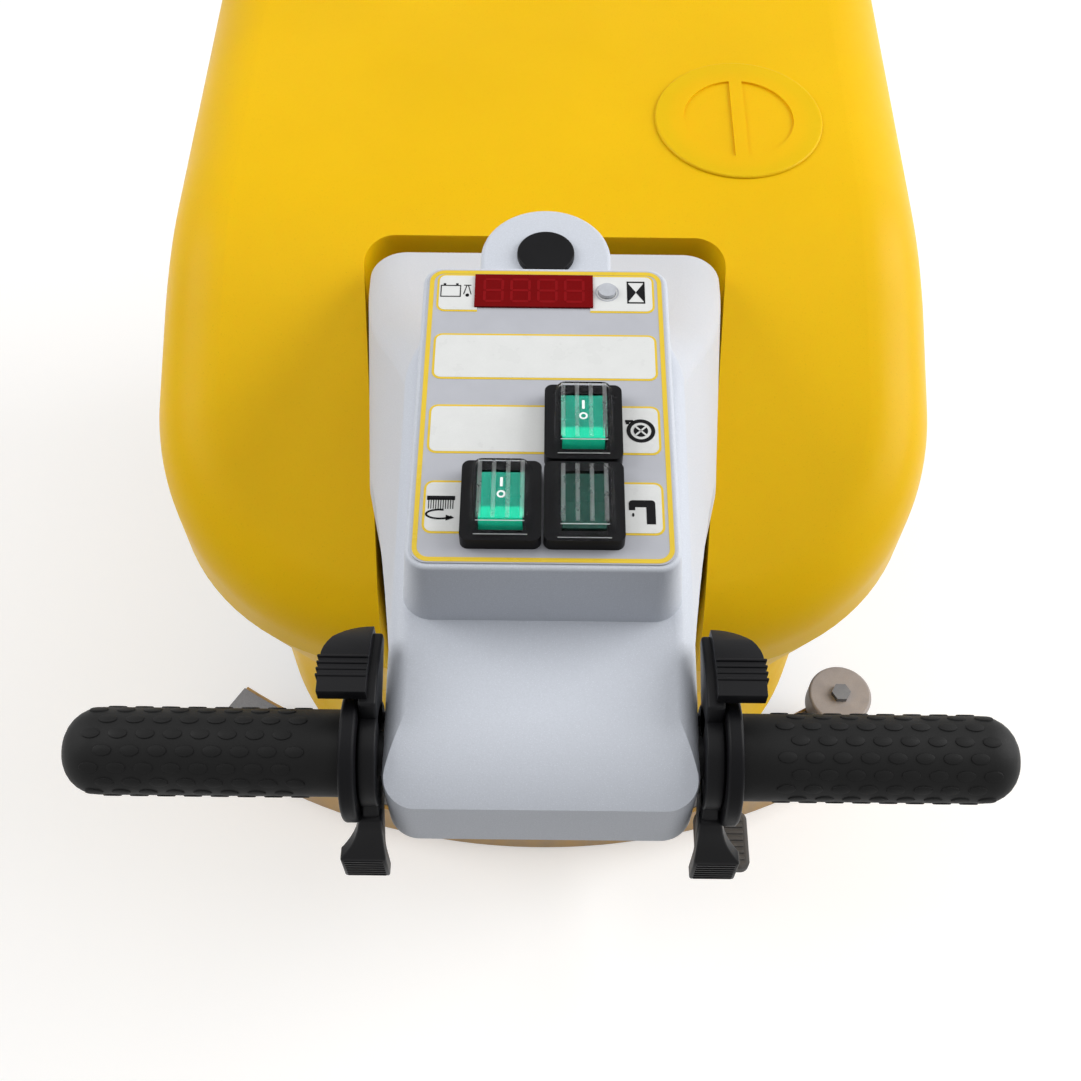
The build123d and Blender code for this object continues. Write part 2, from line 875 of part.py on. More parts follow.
# Screw cap of the solution filler, on the front of the nose
with BuildPart() as filler_cap:
    cap_back_y = nose_front_y + face_gap
    with BuildSketch(Plane.XZ.offset(-cap_back_y)):
        with Locations((0, filler_z)):
            Circle(filler_cap_radius)
    extrude(amount=-filler_cap_thickness)
    with BuildSketch(Plane.XZ.offset(-cap_back_y)):
        with Locations((0, filler_z)):
            Circle(filler_radius)
    extrude(amount=filler_depth)
    with BuildSketch(Plane.XZ.offset(-cap_back_y - filler_cap_thickness)):
        with Locations((0, filler_z)):
            RectangleRounded(filler_bar_length, filler_bar_width, filler_bar_round)
    extrude(amount=-filler_bar_height)
filler_cap.part.label = "filler_cap"
export_step(filler_cap.part, "parts/filler_cap.step")

# Two batteries side by side in the bay
with BuildPart() as batteries:
    bay_middle_y = bay_rear_y + bay_length / 2
    for side, _ in sides:
        battery_x = side * (battery_width + battery_gap) / 2
        with BuildSketch(Plane.XY.offset(bay_floor)):
            with Locations((battery_x, bay_middle_y)):
                RectangleRounded(battery_width, battery_length, battery_round)
        extrude(amount=battery_height)
        with BuildSketch(Plane.XY.offset(bay_floor + battery_height)):
            for end in (-1, 1):
                terminal_y = bay_middle_y + end * (battery_length / 2 - terminal_inset)
                with Locations((battery_x, terminal_y)):
                    Circle(terminal_radius)
        extrude(amount=terminal_height)
batteries.part.label = "batteries"
export_step(batteries.part, "parts/batteries.step")

# Solution valve with its coil, under the base plate
with BuildPart() as solution_valve:
    with BuildSketch(Plane.XY.offset(plate_bottom)):
        with Locations((valve_x, axle_y + valve_forward)):
            RectangleRounded(valve_width, valve_length, valve_round)
    extrude(amount=-valve_height)
    with BuildSketch(Plane.YZ.offset(valve_x + valve_width / 2)):
        with Locations((axle_y + valve_forward, plate_bottom - valve_coil_radius)):
            Circle(valve_coil_radius)
    extrude(amount=valve_coil_length)
solution_valve.part.label = "solution_valve"
export_step(solution_valve.part, "parts/solution_valve.step")

# Brush: bristles under a block, turned by a hub with three drive lugs
with BuildPart() as brush_bristles:
    with BuildSketch(Plane.XZ.offset(-brush_y)):
        with BuildLine():
            Polyline(
                (bristle_bore, 0),
                (brush_radius, 0),
                (brush_radius - bristle_flare, bristle_length),
                (bristle_bore, bristle_length),
                close=True,
            )
        make_face()
    revolve(axis=Axis((0, brush_y, 0), (0, 0, 1)))
brush_bristles.part.label = "brush_bristles"
export_step(brush_bristles.part, "parts/brush_bristles.step")

with BuildPart() as brush_block:
    with BuildSketch(Plane.XY.offset(bristle_length)):
        with Locations((0, brush_y)):
            Circle(brush_radius - bristle_flare)
            Circle(block_bore, mode=Mode.SUBTRACT)
            with PolarLocations(lug_circle, lug_count):
                Circle(lug_radius + shaft_fit, mode=Mode.SUBTRACT)
    extrude(amount=block_thickness)
brush_block.part.label = "brush_block"
export_step(brush_block.part, "parts/brush_block.step")

with BuildPart() as brush_hub:
    with BuildSketch(Plane.XY.offset(block_top)):
        with Locations((0, brush_y)):
            Circle(hub_radius)
    extrude(amount=hub_thickness)
    with BuildSketch(Plane.XY.offset(block_top)):
        with Locations((0, brush_y)):
            with PolarLocations(lug_circle, lug_count):
                Circle(lug_radius)
    extrude(amount=-lug_length)
    with BuildSketch(Plane.XY.offset(hub_top)):
        with Locations((0, brush_y)):
            Circle(drive_shaft_radius)
    extrude(amount=drive_shaft_length)
brush_hub.part.label = "brush_hub"
export_step(brush_hub.part, "parts/brush_hub.step")

# Gearbox and brush motor standing on the deck
with BuildPart() as gearbox:
    with BuildSketch(Plane.XY.offset(cover_top)):
        with Locations((0, brush_y)):
            Circle(gearbox_radius)
    extrude(amount=gearbox_height)
    fillet(gearbox.edges().sort_by(Axis.Z)[-1], gearbox_round)
    with BuildSketch(Plane.XY.offset(cover_top)):
        with Locations((0, brush_y)):
            Circle(drive_shaft_radius + shaft_fit)
    extrude(amount=hub_top + drive_shaft_length + drive_shaft_end_gap - cover_top, mode=Mode.SUBTRACT)
gearbox.part.label = "gearbox"
export_step(gearbox.part, "parts/gearbox.step")

with BuildPart() as brush_motor:
    with BuildSketch(Plane.XY.offset(gearbox_top)):
        with Locations((0, brush_y)):
            Circle(brush_motor_radius)
    extrude(amount=brush_motor_height)
    fillet(brush_motor.edges().sort_by(Axis.Z)[-1], brush_motor_round)
brush_motor.part.label = "brush_motor"
export_step(brush_motor.part, "parts/brush_motor.step")

# Deck cover with the uprights and pins that hang on the arms, and the splash skirt round it
with BuildPart() as deck_cover:
    with BuildSketch(Plane.XY.offset(cover_top)):
        with Locations((0, brush_y)):
            Circle(cover_radius)
    extrude(amount=-cover_rim)
    fillet(deck_cover.edges().sort_by(Axis.Z)[-1], cover_round)
    with BuildSketch(Plane.XY.offset(cover_bottom)):
        with Locations((0, brush_y)):
            Circle(cover_radius - cover_wall)
    extrude(amount=-cover_rim, mode=Mode.SUBTRACT)
    with BuildSketch(Plane.XY.offset(cover_top)):
        with Locations((0, brush_y)):
            Circle(cover_bore)
    extrude(amount=-cover_plate, mode=Mode.SUBTRACT)
    for side, _ in sides:
        with BuildSketch(Plane.YZ.offset(side * upright_x)):
            upright_top = upper_pin_z + upright_width / 2
            with Locations((deck_pin_y, (cover_top + upright_top) / 2)):
                RectangleRounded(upright_width, upright_top - cover_top, upright_round)
            with Locations((deck_pin_y, cover_bottom)):
                Rectangle(upright_width, cover_plate + upright_round, align=(Align.CENTER, Align.MIN))
        extrude(amount=side * upright_thickness)
        with BuildSketch(Plane.YZ.offset(side * (upright_x + upright_thickness))):
            with Locations((deck_pin_y, lower_pin_z), (deck_pin_y, upper_pin_z)):
                Circle(deck_pin_radius)
        extrude(amount=side * (plate_gap + deck_arm_thickness))
deck_cover.part.label = "deck_cover"
export_step(deck_cover.part, "parts/deck_cover.step")

with BuildPart() as splash_skirt:
    with BuildSketch(Plane.XY.offset(skirt_floor_gap)):
        with Locations((0, brush_y)):
            Circle(skirt_radius)
            Circle(cover_radius + shaft_fit, mode=Mode.SUBTRACT)
    extrude(amount=skirt_height)
splash_skirt.part.label = "splash_skirt"
export_step(splash_skirt.part, "parts/splash_skirt.step")

# Upper and lower deck arms, each pair welded to a cross tube with pins in the chassis brackets
for level, pin_z in (("upper", upper_pin_z), ("lower", lower_pin_z)):
    pivot_z = pin_z + arm_pivot_rise
    with BuildPart() as deck_arms:
        for side, _ in sides:
            with BuildSketch(Plane.YZ.offset(side * arm_x)):
                add(arm_slot(pivot_z))
            extrude(amount=side * deck_arm_thickness)
            with BuildSketch(Plane.YZ.offset(side * (arm_x + deck_arm_thickness))):
                with Locations((arm_pivot_y, pivot_z)):
                    Circle(arm_pin_radius)
            extrude(amount=side * (2 * plate_gap + arm_bracket_thickness))
        with BuildSketch(Plane.YZ):
            with Locations((arm_pivot_y, pivot_z)):
                Circle(arm_tube_radius)
        extrude(amount=arm_x, both=True)
    deck_arms.part.label = f"deck_{level}_arms"
    export_step(deck_arms.part, f"parts/deck_{level}_arms.step")

# Deck pedal: an arm on a stub pin in the chassis bracket, and a rubber pad on it
pad_near_y = pedal_pivot_y - pedal_pad_reach
pad_far_y = pad_near_y - pedal_pad_length
with BuildPart() as pedal_arm:
    arm_inner_x = pedal_bracket_x + pedal_bracket_thickness + plate_gap
    with BuildSketch(Plane.YZ.offset(arm_inner_x)):
        with Locations((pedal_pivot_y, pedal_pivot_z)):
            Circle(pedal_hub_radius)
        with BuildLine():
            Polyline(
                (pedal_pivot_y, pedal_pivot_z + pedal_arm_depth / 2),
                (pad_near_y, pedal_pad_base),
                (pad_far_y + pedal_pad_round, pedal_pad_base),
                (pad_far_y + pedal_pad_round, pedal_pad_base - pedal_arm_depth / 2),
                (pad_near_y, pedal_pad_base - pedal_arm_depth),
                (pedal_pivot_y, pedal_pivot_z - pedal_arm_depth / 2),
                close=True,
            )
        make_face()
    extrude(amount=pedal_arm_thickness)
    with BuildSketch(Plane.YZ.offset(arm_inner_x)):
        with Locations((pedal_pivot_y, pedal_pivot_z)):
            Circle(pedal_pin_radius)
    extrude(amount=-(pedal_bracket_thickness + 2 * plate_gap))
pedal_arm.part.label = "pedal_arm"
export_step(pedal_arm.part, "parts/pedal_arm.step")

with BuildPart() as pedal_pad:
    with BuildSketch(Plane.XY.offset(pedal_pad_base)):
        with Locations((pedal_x, (pad_near_y + pad_far_y) / 2)):
            RectangleRounded(pedal_pad_width, pedal_pad_length, 2 * pedal_pad_round)
    extrude(amount=pedal_pad_thickness)
    fillet(pedal_pad.faces().sort_by(Axis.Z)[-1].edges(), pedal_pad_round)
pedal_pad.part.label = "pedal_pad"
export_step(pedal_pad.part, "parts/pedal_pad.step")

# Squeegee body: a curved channel with a tongue for its swing pin, a suction port and a roller bolt
roller_spot = (
    (squeegee_radius - roller_inset) * sin(radians(roller_angle)),
    squeegee_centre_y - (squeegee_radius - roller_inset) * cos(radians(roller_angle)),
)
roller_bottom = squeegee_plate_top + roller_gap
with BuildPart() as squeegee_body:
    with BuildSketch(Plane.XY.offset(squeegee_plate_bottom)):
        add(ring_sector(body_front_arc, body_rear_arc, squeegee_half_angle, squeegee_centre_y))
    extrude(amount=squeegee_plate_top - squeegee_plate_bottom)
    with BuildSketch(Plane.XY.offset(squeegee_lip_bottom)):
        add(
            ring_sector(
                body_rear_arc - squeegee_lip, body_rear_arc, squeegee_half_angle, squeegee_centre_y
            )
        )
        add(
            ring_sector(
                body_front_arc, body_front_arc + squeegee_lip, squeegee_half_angle, squeegee_centre_y
            )
        )
    extrude(amount=squeegee_plate_bottom - squeegee_lip_bottom)
    with BuildSketch(Plane.XY.offset(squeegee_plate_top)):
        tongue_rear_y = squeegee_centre_y - body_front_arc - squeegee_tongue_half
        with Locations((0, tongue_rear_y)):
            Rectangle(
                2 * squeegee_tongue_half,
                squeegee_tongue_length + squeegee_tongue_half,
                align=(Align.CENTER, Align.MIN),
            )
        with Locations((0, swing_y)):
            Circle(swing_pin_radius + shaft_fit, mode=Mode.SUBTRACT)
    extrude(amount=squeegee_tongue_thickness)
    port_arc = (body_front_arc + body_rear_arc) / 2
    port_y = squeegee_centre_y - sqrt(port_arc**2 - port_x**2)
    with BuildSketch(Plane.XY.offset(squeegee_plate_top)):
        with Locations((port_x, port_y)):
            Circle(port_radius)
    extrude(amount=port_height)
    with BuildSketch(Plane.XY.offset(squeegee_plate_bottom)):
        with Locations((port_x, port_y)):
            Circle(port_bore)
    extrude(amount=squeegee_plate_top + port_height, mode=Mode.SUBTRACT)
    with BuildSketch(Plane.XY.offset(squeegee_plate_top)):
        with Locations(roller_spot):
            Circle(2 * roller_bolt_radius)
    extrude(amount=roller_gap - face_gap)
    with BuildSketch(Plane.XY.offset(squeegee_plate_top)):
        with Locations(roller_spot):
            Circle(roller_bolt_radius)
    extrude(amount=roller_gap + roller_height + face_gap)
    with BuildSketch(Plane.XY.offset(roller_bottom + roller_height + face_gap)):
        with Locations(roller_spot):
            RegularPolygon(roller_bolt_head, hex_sides)
    extrude(amount=roller_bolt_radius)
squeegee_body.part.label = "squeegee_body"
export_step(squeegee_body.part, "parts/squeegee_body.step")

with BuildPart() as squeegee_roller:
    with BuildSketch(Plane.XY.offset(roller_bottom)):
        with Locations(roller_spot):
            Circle(roller_radius)
            Circle(roller_bolt_radius + shaft_fit, mode=Mode.SUBTRACT)
    extrude(amount=roller_height)
    outer_edges = squeegee_roller.edges().filter_by(GeomType.CIRCLE)
    fillet(outer_edges.filter_by(lambda edge: edge.radius == roller_radius), roller_gap)
squeegee_roller.part.label = "squeegee_roller"
export_step(squeegee_roller.part, "parts/squeegee_roller.step")

# Squeegee blades, clamped to the body's front and rear faces
for name, inner, outer in (
    ("rear_blade", blade_rear_inner, squeegee_radius),
    ("front_blade", blade_front_inner, blade_front_outer),
):
    with BuildPart() as blade:
        with BuildSketch():
            add(ring_sector(inner, outer, squeegee_half_angle, squeegee_centre_y))
        extrude(amount=blade_height)
    blade.part.label = name
    export_step(blade.part, f"parts/{name}.step")

# Knobs along the top of the squeegee body that clamp the blades
with BuildPart() as squeegee_knobs:
    for angle in knob_angles:
        knob_arc = squeegee_radius - knob_inset - blade_thickness
        knob_spot = (
            knob_arc * sin(radians(angle)),
            squeegee_centre_y - knob_arc * cos(radians(angle)),
        )
        with BuildSketch(Plane.XY.offset(squeegee_plate_top)):
            with Locations(knob_spot):
                RegularPolygon(knob_radius, knob_sides)
        extrude(amount=knob_height)
squeegee_knobs.part.label = "squeegee_knobs"
export_step(squeegee_knobs.part, "parts/squeegee_knobs.step")

# Squeegee arm: a cross tube on pins in the chassis, a bar, and a flat end with a swing pin and link ears
with BuildPart() as squeegee_arm:
    arm_end_y = axle_y - squeegee_arm_end_offset
    flat_start_y = arm_end_y + squeegee_arm_flat
    with BuildSketch(Plane.YZ):
        with Locations((squeegee_pivot_y, squeegee_pivot_z)):
            Circle(squeegee_tube_radius)
    extrude(amount=squeegee_bracket_x - plate_gap, both=True)
    with BuildSketch(Plane.YZ):
        with Locations((squeegee_pivot_y, squeegee_pivot_z)):
            Circle(squeegee_pin_radius)
    extrude(amount=squeegee_bracket_x + squeegee_bracket_thickness + plate_gap, both=True)
    with BuildSketch(Plane.YZ):
        with BuildLine():
            Polyline(
                (squeegee_pivot_y, squeegee_pivot_z - squeegee_arm_thickness / 2),
                (squeegee_pivot_y, squeegee_pivot_z + squeegee_arm_thickness / 2),
                (flat_start_y, arm_flat_bottom + squeegee_arm_thickness),
                (arm_end_y, arm_flat_bottom + squeegee_arm_thickness),
                (arm_end_y, arm_flat_bottom),
                (flat_start_y, arm_flat_bottom),
                close=True,
            )
        make_face()
    extrude(amount=squeegee_arm_half, both=True)
    with BuildSketch(Plane.XY.offset(arm_flat_bottom)):
        with Locations((0, swing_y)):
            Circle(swing_pin_radius)
    extrude(amount=-(squeegee_tongue_thickness + 2 * face_gap))
    with BuildSketch(Plane.XY.offset(squeegee_plate_top - face_gap)):
        with Locations((0, swing_y)):
            Circle(swing_head_radius)
    extrude(amount=-swing_head_height)
    ear_inner = link_half + link_ear_gap
    for side, _ in sides:
        with BuildSketch(Plane.YZ.offset(side * ear_inner)):
            with Locations((link_y, link_pin_z)):
                Circle(link_width / 2)
            with Locations((link_y, (link_pin_z + arm_flat_bottom) / 2)):
                Rectangle(link_width, link_pin_z - arm_flat_bottom)
        extrude(amount=side * link_ear_thickness)
    with BuildSketch(Plane.YZ):
        with Locations((link_y, link_pin_z)):
            Circle(link_pin_radius)
    extrude(amount=ear_inner + link_ear_thickness, both=True)
squeegee_arm.part.label = "squeegee_arm"
export_step(squeegee_arm.part, "parts/squeegee_arm.step")

# Squeegee lift lever: a hub on pins in the mast's ears, a forked crank and a foot plate
crank_pin = (
    lift_hub_y + lift_hub_setback * cos(radians(lift_swing)),
    lift_hub_z - lift_hub_setback * sin(radians(lift_swing)),
)
with BuildPart() as squeegee_lift_lever:
    with BuildSketch(Plane.YZ):
        with Locations((lift_hub_y, lift_hub_z)):
            Circle(lift_hub_radius)
    extrude(amount=lift_hub_half, both=True)
    with BuildSketch(Plane.YZ):
        with Locations((lift_hub_y, lift_hub_z)):
            Circle(lift_pin_radius)
    extrude(amount=lift_ear_x + lift_ear_thickness + plate_gap, both=True)
    for side, _ in sides:
        with BuildSketch(Plane.YZ.offset(side * ear_inner)):
            crank_middle = ((lift_hub_y + crank_pin[0]) / 2, (lift_hub_z + crank_pin[1]) / 2)
            with Locations(Location(crank_middle, -lift_swing)):
                SlotCenterToCenter(lift_hub_setback, link_width)
        extrude(amount=side * link_ear_thickness)
    with BuildSketch(Plane.YZ):
        with Locations(crank_pin):
            Circle(link_pin_radius)
    extrude(amount=ear_inner + link_ear_thickness, both=True)
    handle_rise = lift_handle_length * sin(radians(lift_handle_rise))
    handle_run = lift_handle_length * cos(radians(lift_handle_rise))
    handle_end = (lift_hub_y - handle_run, lift_hub_z + handle_rise)
    with BuildSketch(Plane.YZ):
        handle_middle = ((lift_hub_y + handle_end[0]) / 2, (lift_hub_z + handle_end[1]) / 2)
        with Locations(Location(handle_middle, -lift_handle_rise)):
            SlotCenterToCenter(lift_handle_length, lift_handle_thickness)
    extrude(amount=lift_handle_half, both=True)
    with BuildSketch(Plane.YZ):
        with Locations(Location(handle_end, -lift_handle_rise)):
            SlotOverall(lift_pad_length, lift_handle_thickness)
    extrude(amount=lift_pad_half, both=True)
    with BuildSketch(Plane.YZ):
        with Locations((lift_hub_y + lift_hub_radius, lift_hub_z)):
            Rectangle(lift_hub_setback, lift_hub_setback * 2, align=(Align.MIN, Align.CENTER))
    extrude(amount=link_half + link_ear_gap / 2, both=True, mode=Mode.SUBTRACT)
    with BuildSketch(Plane.YZ):
        with Locations(crank_pin):
            Circle(link_pin_radius)
    extrude(amount=ear_inner, both=True)
squeegee_lift_lever.part.label = "squeegee_lift_lever"
export_step(squeegee_lift_lever.part, "parts/squeegee_lift_lever.step")

# Lift link between the squeegee arm and the lever's crank, with a slotted upper eye
with BuildPart() as squeegee_lift_link:
    slot_y = lift_hub_y + lift_hub_setback * (1 + cos(radians(lift_swing))) / 2
    with BuildSketch(Plane.YZ):
        with Locations((link_y, (link_pin_z + crank_pin[1]) / 2)):
            Rectangle(link_width, crank_pin[1] - link_pin_z)
        with Locations((link_y, link_pin_z)):
            Circle(link_width / 2)
        with Locations((slot_y, crank_pin[1])):
            SlotCenterToCenter(link_slot_travel, link_width + 2 * link_slot_play)
            SlotCenterToCenter(
                link_slot_travel, 2 * (link_pin_radius + link_slot_play), mode=Mode.SUBTRACT
            )
        with Locations((link_y, link_pin_z)):
            Circle(link_pin_radius + shaft_fit, mode=Mode.SUBTRACT)
    extrude(amount=link_half, both=True)
squeegee_lift_link.part.label = "squeegee_lift_link"
export_step(squeegee_lift_link.part, "parts/squeegee_lift_link.step")


def bucket_form(skin):
    """The recovery tank's lower form, drawn in by skin, narrowing towards its floor."""
    with BuildPart() as form:
        with BuildSketch(Plane.XY.offset(tank_seam)):
            add(
                rounded_plan(
                    tank_half_width - skin,
                    tank_rear_y + skin,
                    tank_front_y - skin,
                    tank_rear_radius - skin,
                    tank_front_radius - skin,
                )
            )
        extrude(amount=-(tank_seam - tank_base - skin), taper=tank_taper)
        with BuildSketch(Plane.XY.offset(tank_base)):
            add(notch_plan(skin))
        extrude(amount=tank_seam, mode=Mode.SUBTRACT)
        with BuildSketch(Plane.XY.offset(tank_base)):
            with Locations((0, vacuum_y)):
                Circle(vacuum_pocket_radius + skin)
        extrude(amount=vacuum_pocket_top - tank_base + skin, mode=Mode.SUBTRACT)
    return form.part


def hood_form(skin):
    """The tank hood's outer form, drawn in by skin, with a level top and a slope down to the rear."""
    top = tank_top - skin
    rear_top = top - hood_rear_drop
    with BuildPart() as form:
        with BuildSketch(Plane.XY.offset(tank_seam)):
            add(
                rounded_plan(
                    tank_half_width - skin,
                    tank_rear_y + skin,
                    tank_front_y - skin,
                    tank_rear_radius - skin,
                    tank_front_radius - skin,
                )
            )
        extrude(amount=top - tank_seam)
        with BuildSketch(Plane.YZ):
            with BuildLine():
                Polyline(
                    (hood_crease_y, top),
                    (tank_rear_y, rear_top),
                    (tank_rear_y - tank_rear_radius, rear_top),
                    (tank_rear_y - tank_rear_radius, top),
                    close=True,
                )
            make_face()
        extrude(amount=2 * tank_half_width, both=True, mode=Mode.SUBTRACT)
        crease = form.edges().filter_by(Axis.X).group_by(Axis.Z)[-1]
        fillet(crease.sort_by(Axis.Y)[0], hood_crease_round)
        top_faces = form.faces().filter_by(lambda face: face.normal_at().Z > hood_wall_slope)
        rim_edges = [
            edge
            for edge in top_faces.edges()
            if len(top_faces.filter_by(lambda face: edge in face.edges())) == 1
        ]
        fillet(rim_edges, hood_round - skin)
        with BuildSketch(Plane.XY.offset(tank_seam)):
            add(notch_plan(skin))
        extrude(amount=tank_top, mode=Mode.SUBTRACT)
    return form.part


# Recovery tank: a bucket with a notch for the column, a vacuum motor pocket and hinge knuckles
with BuildPart() as recovery_tank:
    add(bucket_form(0))
    add(bucket_form(tank_wall), mode=Mode.SUBTRACT)
    web_top = tank_base + 2 * hinge_ear_radius
    for side, _ in sides:
        with BuildSketch(Plane.YZ.offset(side * hinge_x)):
            with Locations((hinge_y, hinge_z)):
                Circle(hinge_ear_radius)
            with Locations((hinge_y, hinge_z)):
                Rectangle(2 * hinge_ear_radius, web_top - hinge_z, align=(Align.CENTER, Align.MIN))
            with Locations((hinge_y, tank_base)):
                Rectangle(2 * hinge_forward, web_top - tank_base, align=(Align.MAX, Align.MIN))
            with Locations((hinge_y, hinge_z)):
                Circle(hinge_pin_radius + shaft_fit, mode=Mode.SUBTRACT)
        extrude(amount=hinge_knuckle_width / 2, both=True)
recovery_tank.part.label = "recovery_tank"
export_step(recovery_tank.part, "parts/recovery_tank.step")

# Hinge pins between the body's ears and the tank's knuckles
with BuildPart() as tank_hinge_pins:
    for side, _ in sides:
        with BuildSketch(Plane.YZ.offset(side * hinge_x)):
            with Locations((hinge_y, hinge_z)):
                Circle(hinge_pin_radius)
        extrude(amount=hinge_knuckle_width / 2 + hinge_ear_thickness + plate_gap, both=True)
tank_hinge_pins.part.label = "tank_hinge_pins"
export_step(tank_hinge_pins.part, "parts/tank_hinge_pins.step")

# Tank hood with the neck of the recovery cap
with BuildPart() as tank_hood:
    add(hood_form(0))
    add(hood_form(tank_wall), mode=Mode.SUBTRACT)
    with BuildSketch(Plane.XY.offset(tank_top)):
        with Locations((recovery_cap_x, recovery_cap_y)):
            Circle(recovery_neck_radius + shaft_fit)
    extrude(amount=-2 * tank_wall, mode=Mode.SUBTRACT)
tank_hood.part.label = "tank_hood"
export_step(tank_hood.part, "parts/tank_hood.step")

# Recovery cap: a dished screw cap with a grip bar across its dish
with BuildPart() as recovery_cap:
    with BuildSketch(Plane.XY.offset(tank_top + face_gap)):
        with Locations((recovery_cap_x, recovery_cap_y)):
            Circle(recovery_cap_radius)
    extrude(amount=recovery_cap_rise)
    fillet(recovery_cap.edges().sort_by(Axis.Z)[-1], recovery_cap_round)
    with BuildSketch(Plane.XY.offset(tank_top + face_gap)):
        with Locations((recovery_cap_x, recovery_cap_y)):
            Circle(recovery_neck_radius)
    extrude(amount=-recovery_cap_depth)
    with BuildSketch(Plane.XY.offset(tank_top + face_gap + recovery_cap_rise)):
        with Locations((recovery_cap_x, recovery_cap_y)):
            Circle(cap_dish_radius)
            Rectangle(cap_bar_width, 2 * cap_dish_radius, mode=Mode.SUBTRACT)
    extrude(amount=-cap_dish_depth, mode=Mode.SUBTRACT)
recovery_cap.part.label = "recovery_cap"
export_step(recovery_cap.part, "parts/recovery_cap.step")

# Vacuum motor hung from the roof of its pocket
with BuildPart() as vacuum_motor:
    with BuildSketch(Plane.XY.offset(vacuum_pocket_top)):
        with Locations((0, vacuum_y)):
            Circle(vacuum_radius)
    extrude(amount=-vacuum_height / 2)
    with BuildSketch(Plane.XY.offset(vacuum_pocket_top)):
        with Locations((0, vacuum_y)):
            Circle(vacuum_cap_radius)
    extrude(amount=-vacuum_height)
vacuum_motor.part.label = "vacuum_motor"
export_step(vacuum_motor.part, "parts/vacuum_motor.step")


def between(start, end, share):
    """The value that lies at share of the way from start to end."""
    return start + share * (end - start)


def neck_section(share, rear_share, front_share, width_share, skin):
    """A level section of the neck, drawn in by skin, at share of the height from the foot to the head."""
    return column_section(
        between(tank_top, head_bottom, share),
        between(column_rear_y, head_rear_y, rear_share) + skin,
        between(column_front_y, head_front_y, front_share) - skin,
        between(column_rear_half, head_half_width, width_share) - skin,
        between(column_front_half, head_front_half_width, width_share) - skin,
        column_corner - skin,
        column_corner - skin,
    )


def column_form(skin):
    """The handle column's form, drawn in by skin: a straight foot, a neck and the head's lower half."""
    foot = (
        column_rear_y + skin,
        column_front_y - skin,
        column_rear_half - skin,
        column_front_half - skin,
        column_corner - skin,
        column_corner - skin,
    )
    with BuildPart() as form:
        extrude(column_section(body_top, *foot), amount=tank_top - body_top)
        loft(
            [
                column_section(tank_top, *foot),
                neck_section(
                    neck_low_share, neck_low_rear_share, neck_low_front_share, neck_low_width_share, skin
                ),
                neck_section(
                    neck_mid_share, neck_mid_rear_share, neck_mid_front_share, neck_mid_width_share, skin
                ),
                head_section(head_bottom, skin),
            ]
        )
        extrude(head_section(head_bottom, skin), amount=grip_height - head_bottom)
    return form.part


def bar_holes():
    """The side view of the handlebar's hole and the lever peg's slot through the head."""
    with BuildSketch(Plane.YZ) as holes:
        with Locations((grip_y, grip_height)):
            Circle(bar_radius + shaft_fit)
        with Locations((grip_y + lever_peg_circle, grip_height)):
            SlotCenterToCenter(
                2 * lever_peg_circle * sin(radians(lever_swing)),
                2 * (lever_peg_radius + lever_peg_play),
                rotation=90,
            )
    return holes.sketch


# Handle column: a hollow grey moulding that stands on the body in the tank's notch
with BuildPart() as handle_column:
    add(column_form(0))
    add(column_form(column_skin), mode=Mode.SUBTRACT)
    extrude(bar_holes(), amount=2 * head_half_width, both=True, mode=Mode.SUBTRACT)
handle_column.part.label = "handle_column"
export_step(handle_column.part, "parts/handle_column.step")

# Steel mast inside the column, with ears for the lift lever and saddles for the handlebar
with BuildPart() as handle_mast:
    with BuildLine() as mast_path:
        FilletPolyline(
            (0, mast_y, plate_top),
            (0, mast_y, mast_bend_z),
            (0, mast_top_y, mast_top_z),
            radius=mast_bend_radius,
        )
    with BuildSketch(Plane.XY.offset(plate_top)):
        with Locations((0, mast_y)):
            Rectangle(mast_width, mast_depth)
            Rectangle(mast_width - 2 * mast_wall, mast_depth - 2 * mast_wall, mode=Mode.SUBTRACT)
    sweep(path=mast_path.wire())
    saddle_corner = head_corner - column_skin - plate_gap
    with BuildSketch(Plane.XY.offset(saddle_base - saddle_plate)):
        add(
            rounded_plan(
                saddle_plate_half_width,
                head_rear_y + column_skin + plate_gap,
                mast_top_y + mast_depth / 2,
                saddle_corner,
                saddle_corner,
            )
        )
    extrude(amount=saddle_plate)
    for side, _ in sides:
        with BuildSketch(Plane.YZ.offset(side * (saddle_x - saddle_width / 2))):
            with Locations((grip_y, saddle_base)):
                Rectangle(saddle_length, grip_height - saddle_base, align=(Align.CENTER, Align.MIN))
            with Locations((grip_y, grip_height)):
                Circle(bar_radius + shaft_fit, mode=Mode.SUBTRACT)
        extrude(amount=side * saddle_width)
        with BuildSketch(Plane.YZ.offset(side * lift_ear_x)):
            with Locations((lift_hub_y, lift_hub_z)):
                Circle(lift_hub_radius)
            with Locations((lift_hub_y, lift_hub_z)):
                Rectangle(
                    mast_y - lift_hub_y - mast_depth / 2 + mast_wall / 2,
                    2 * lift_hub_radius,
                    align=(Align.MIN, Align.CENTER),
                )
            with Locations((lift_hub_y, lift_hub_z)):
                Circle(lift_pin_radius + shaft_fit, mode=Mode.SUBTRACT)
        extrude(amount=side * lift_ear_thickness)
handle_mast.part.label = "handle_mast"
export_step(handle_mast.part, "parts/handle_mast.step")


def panel_plan(skin):
    """The raised panel's plan, drawn in by skin."""
    corner = panel_corner - skin
    return rounded_plan(
        panel_half_width - skin, panel_near_y + skin, panel_far_y - skin, corner, corner
    )


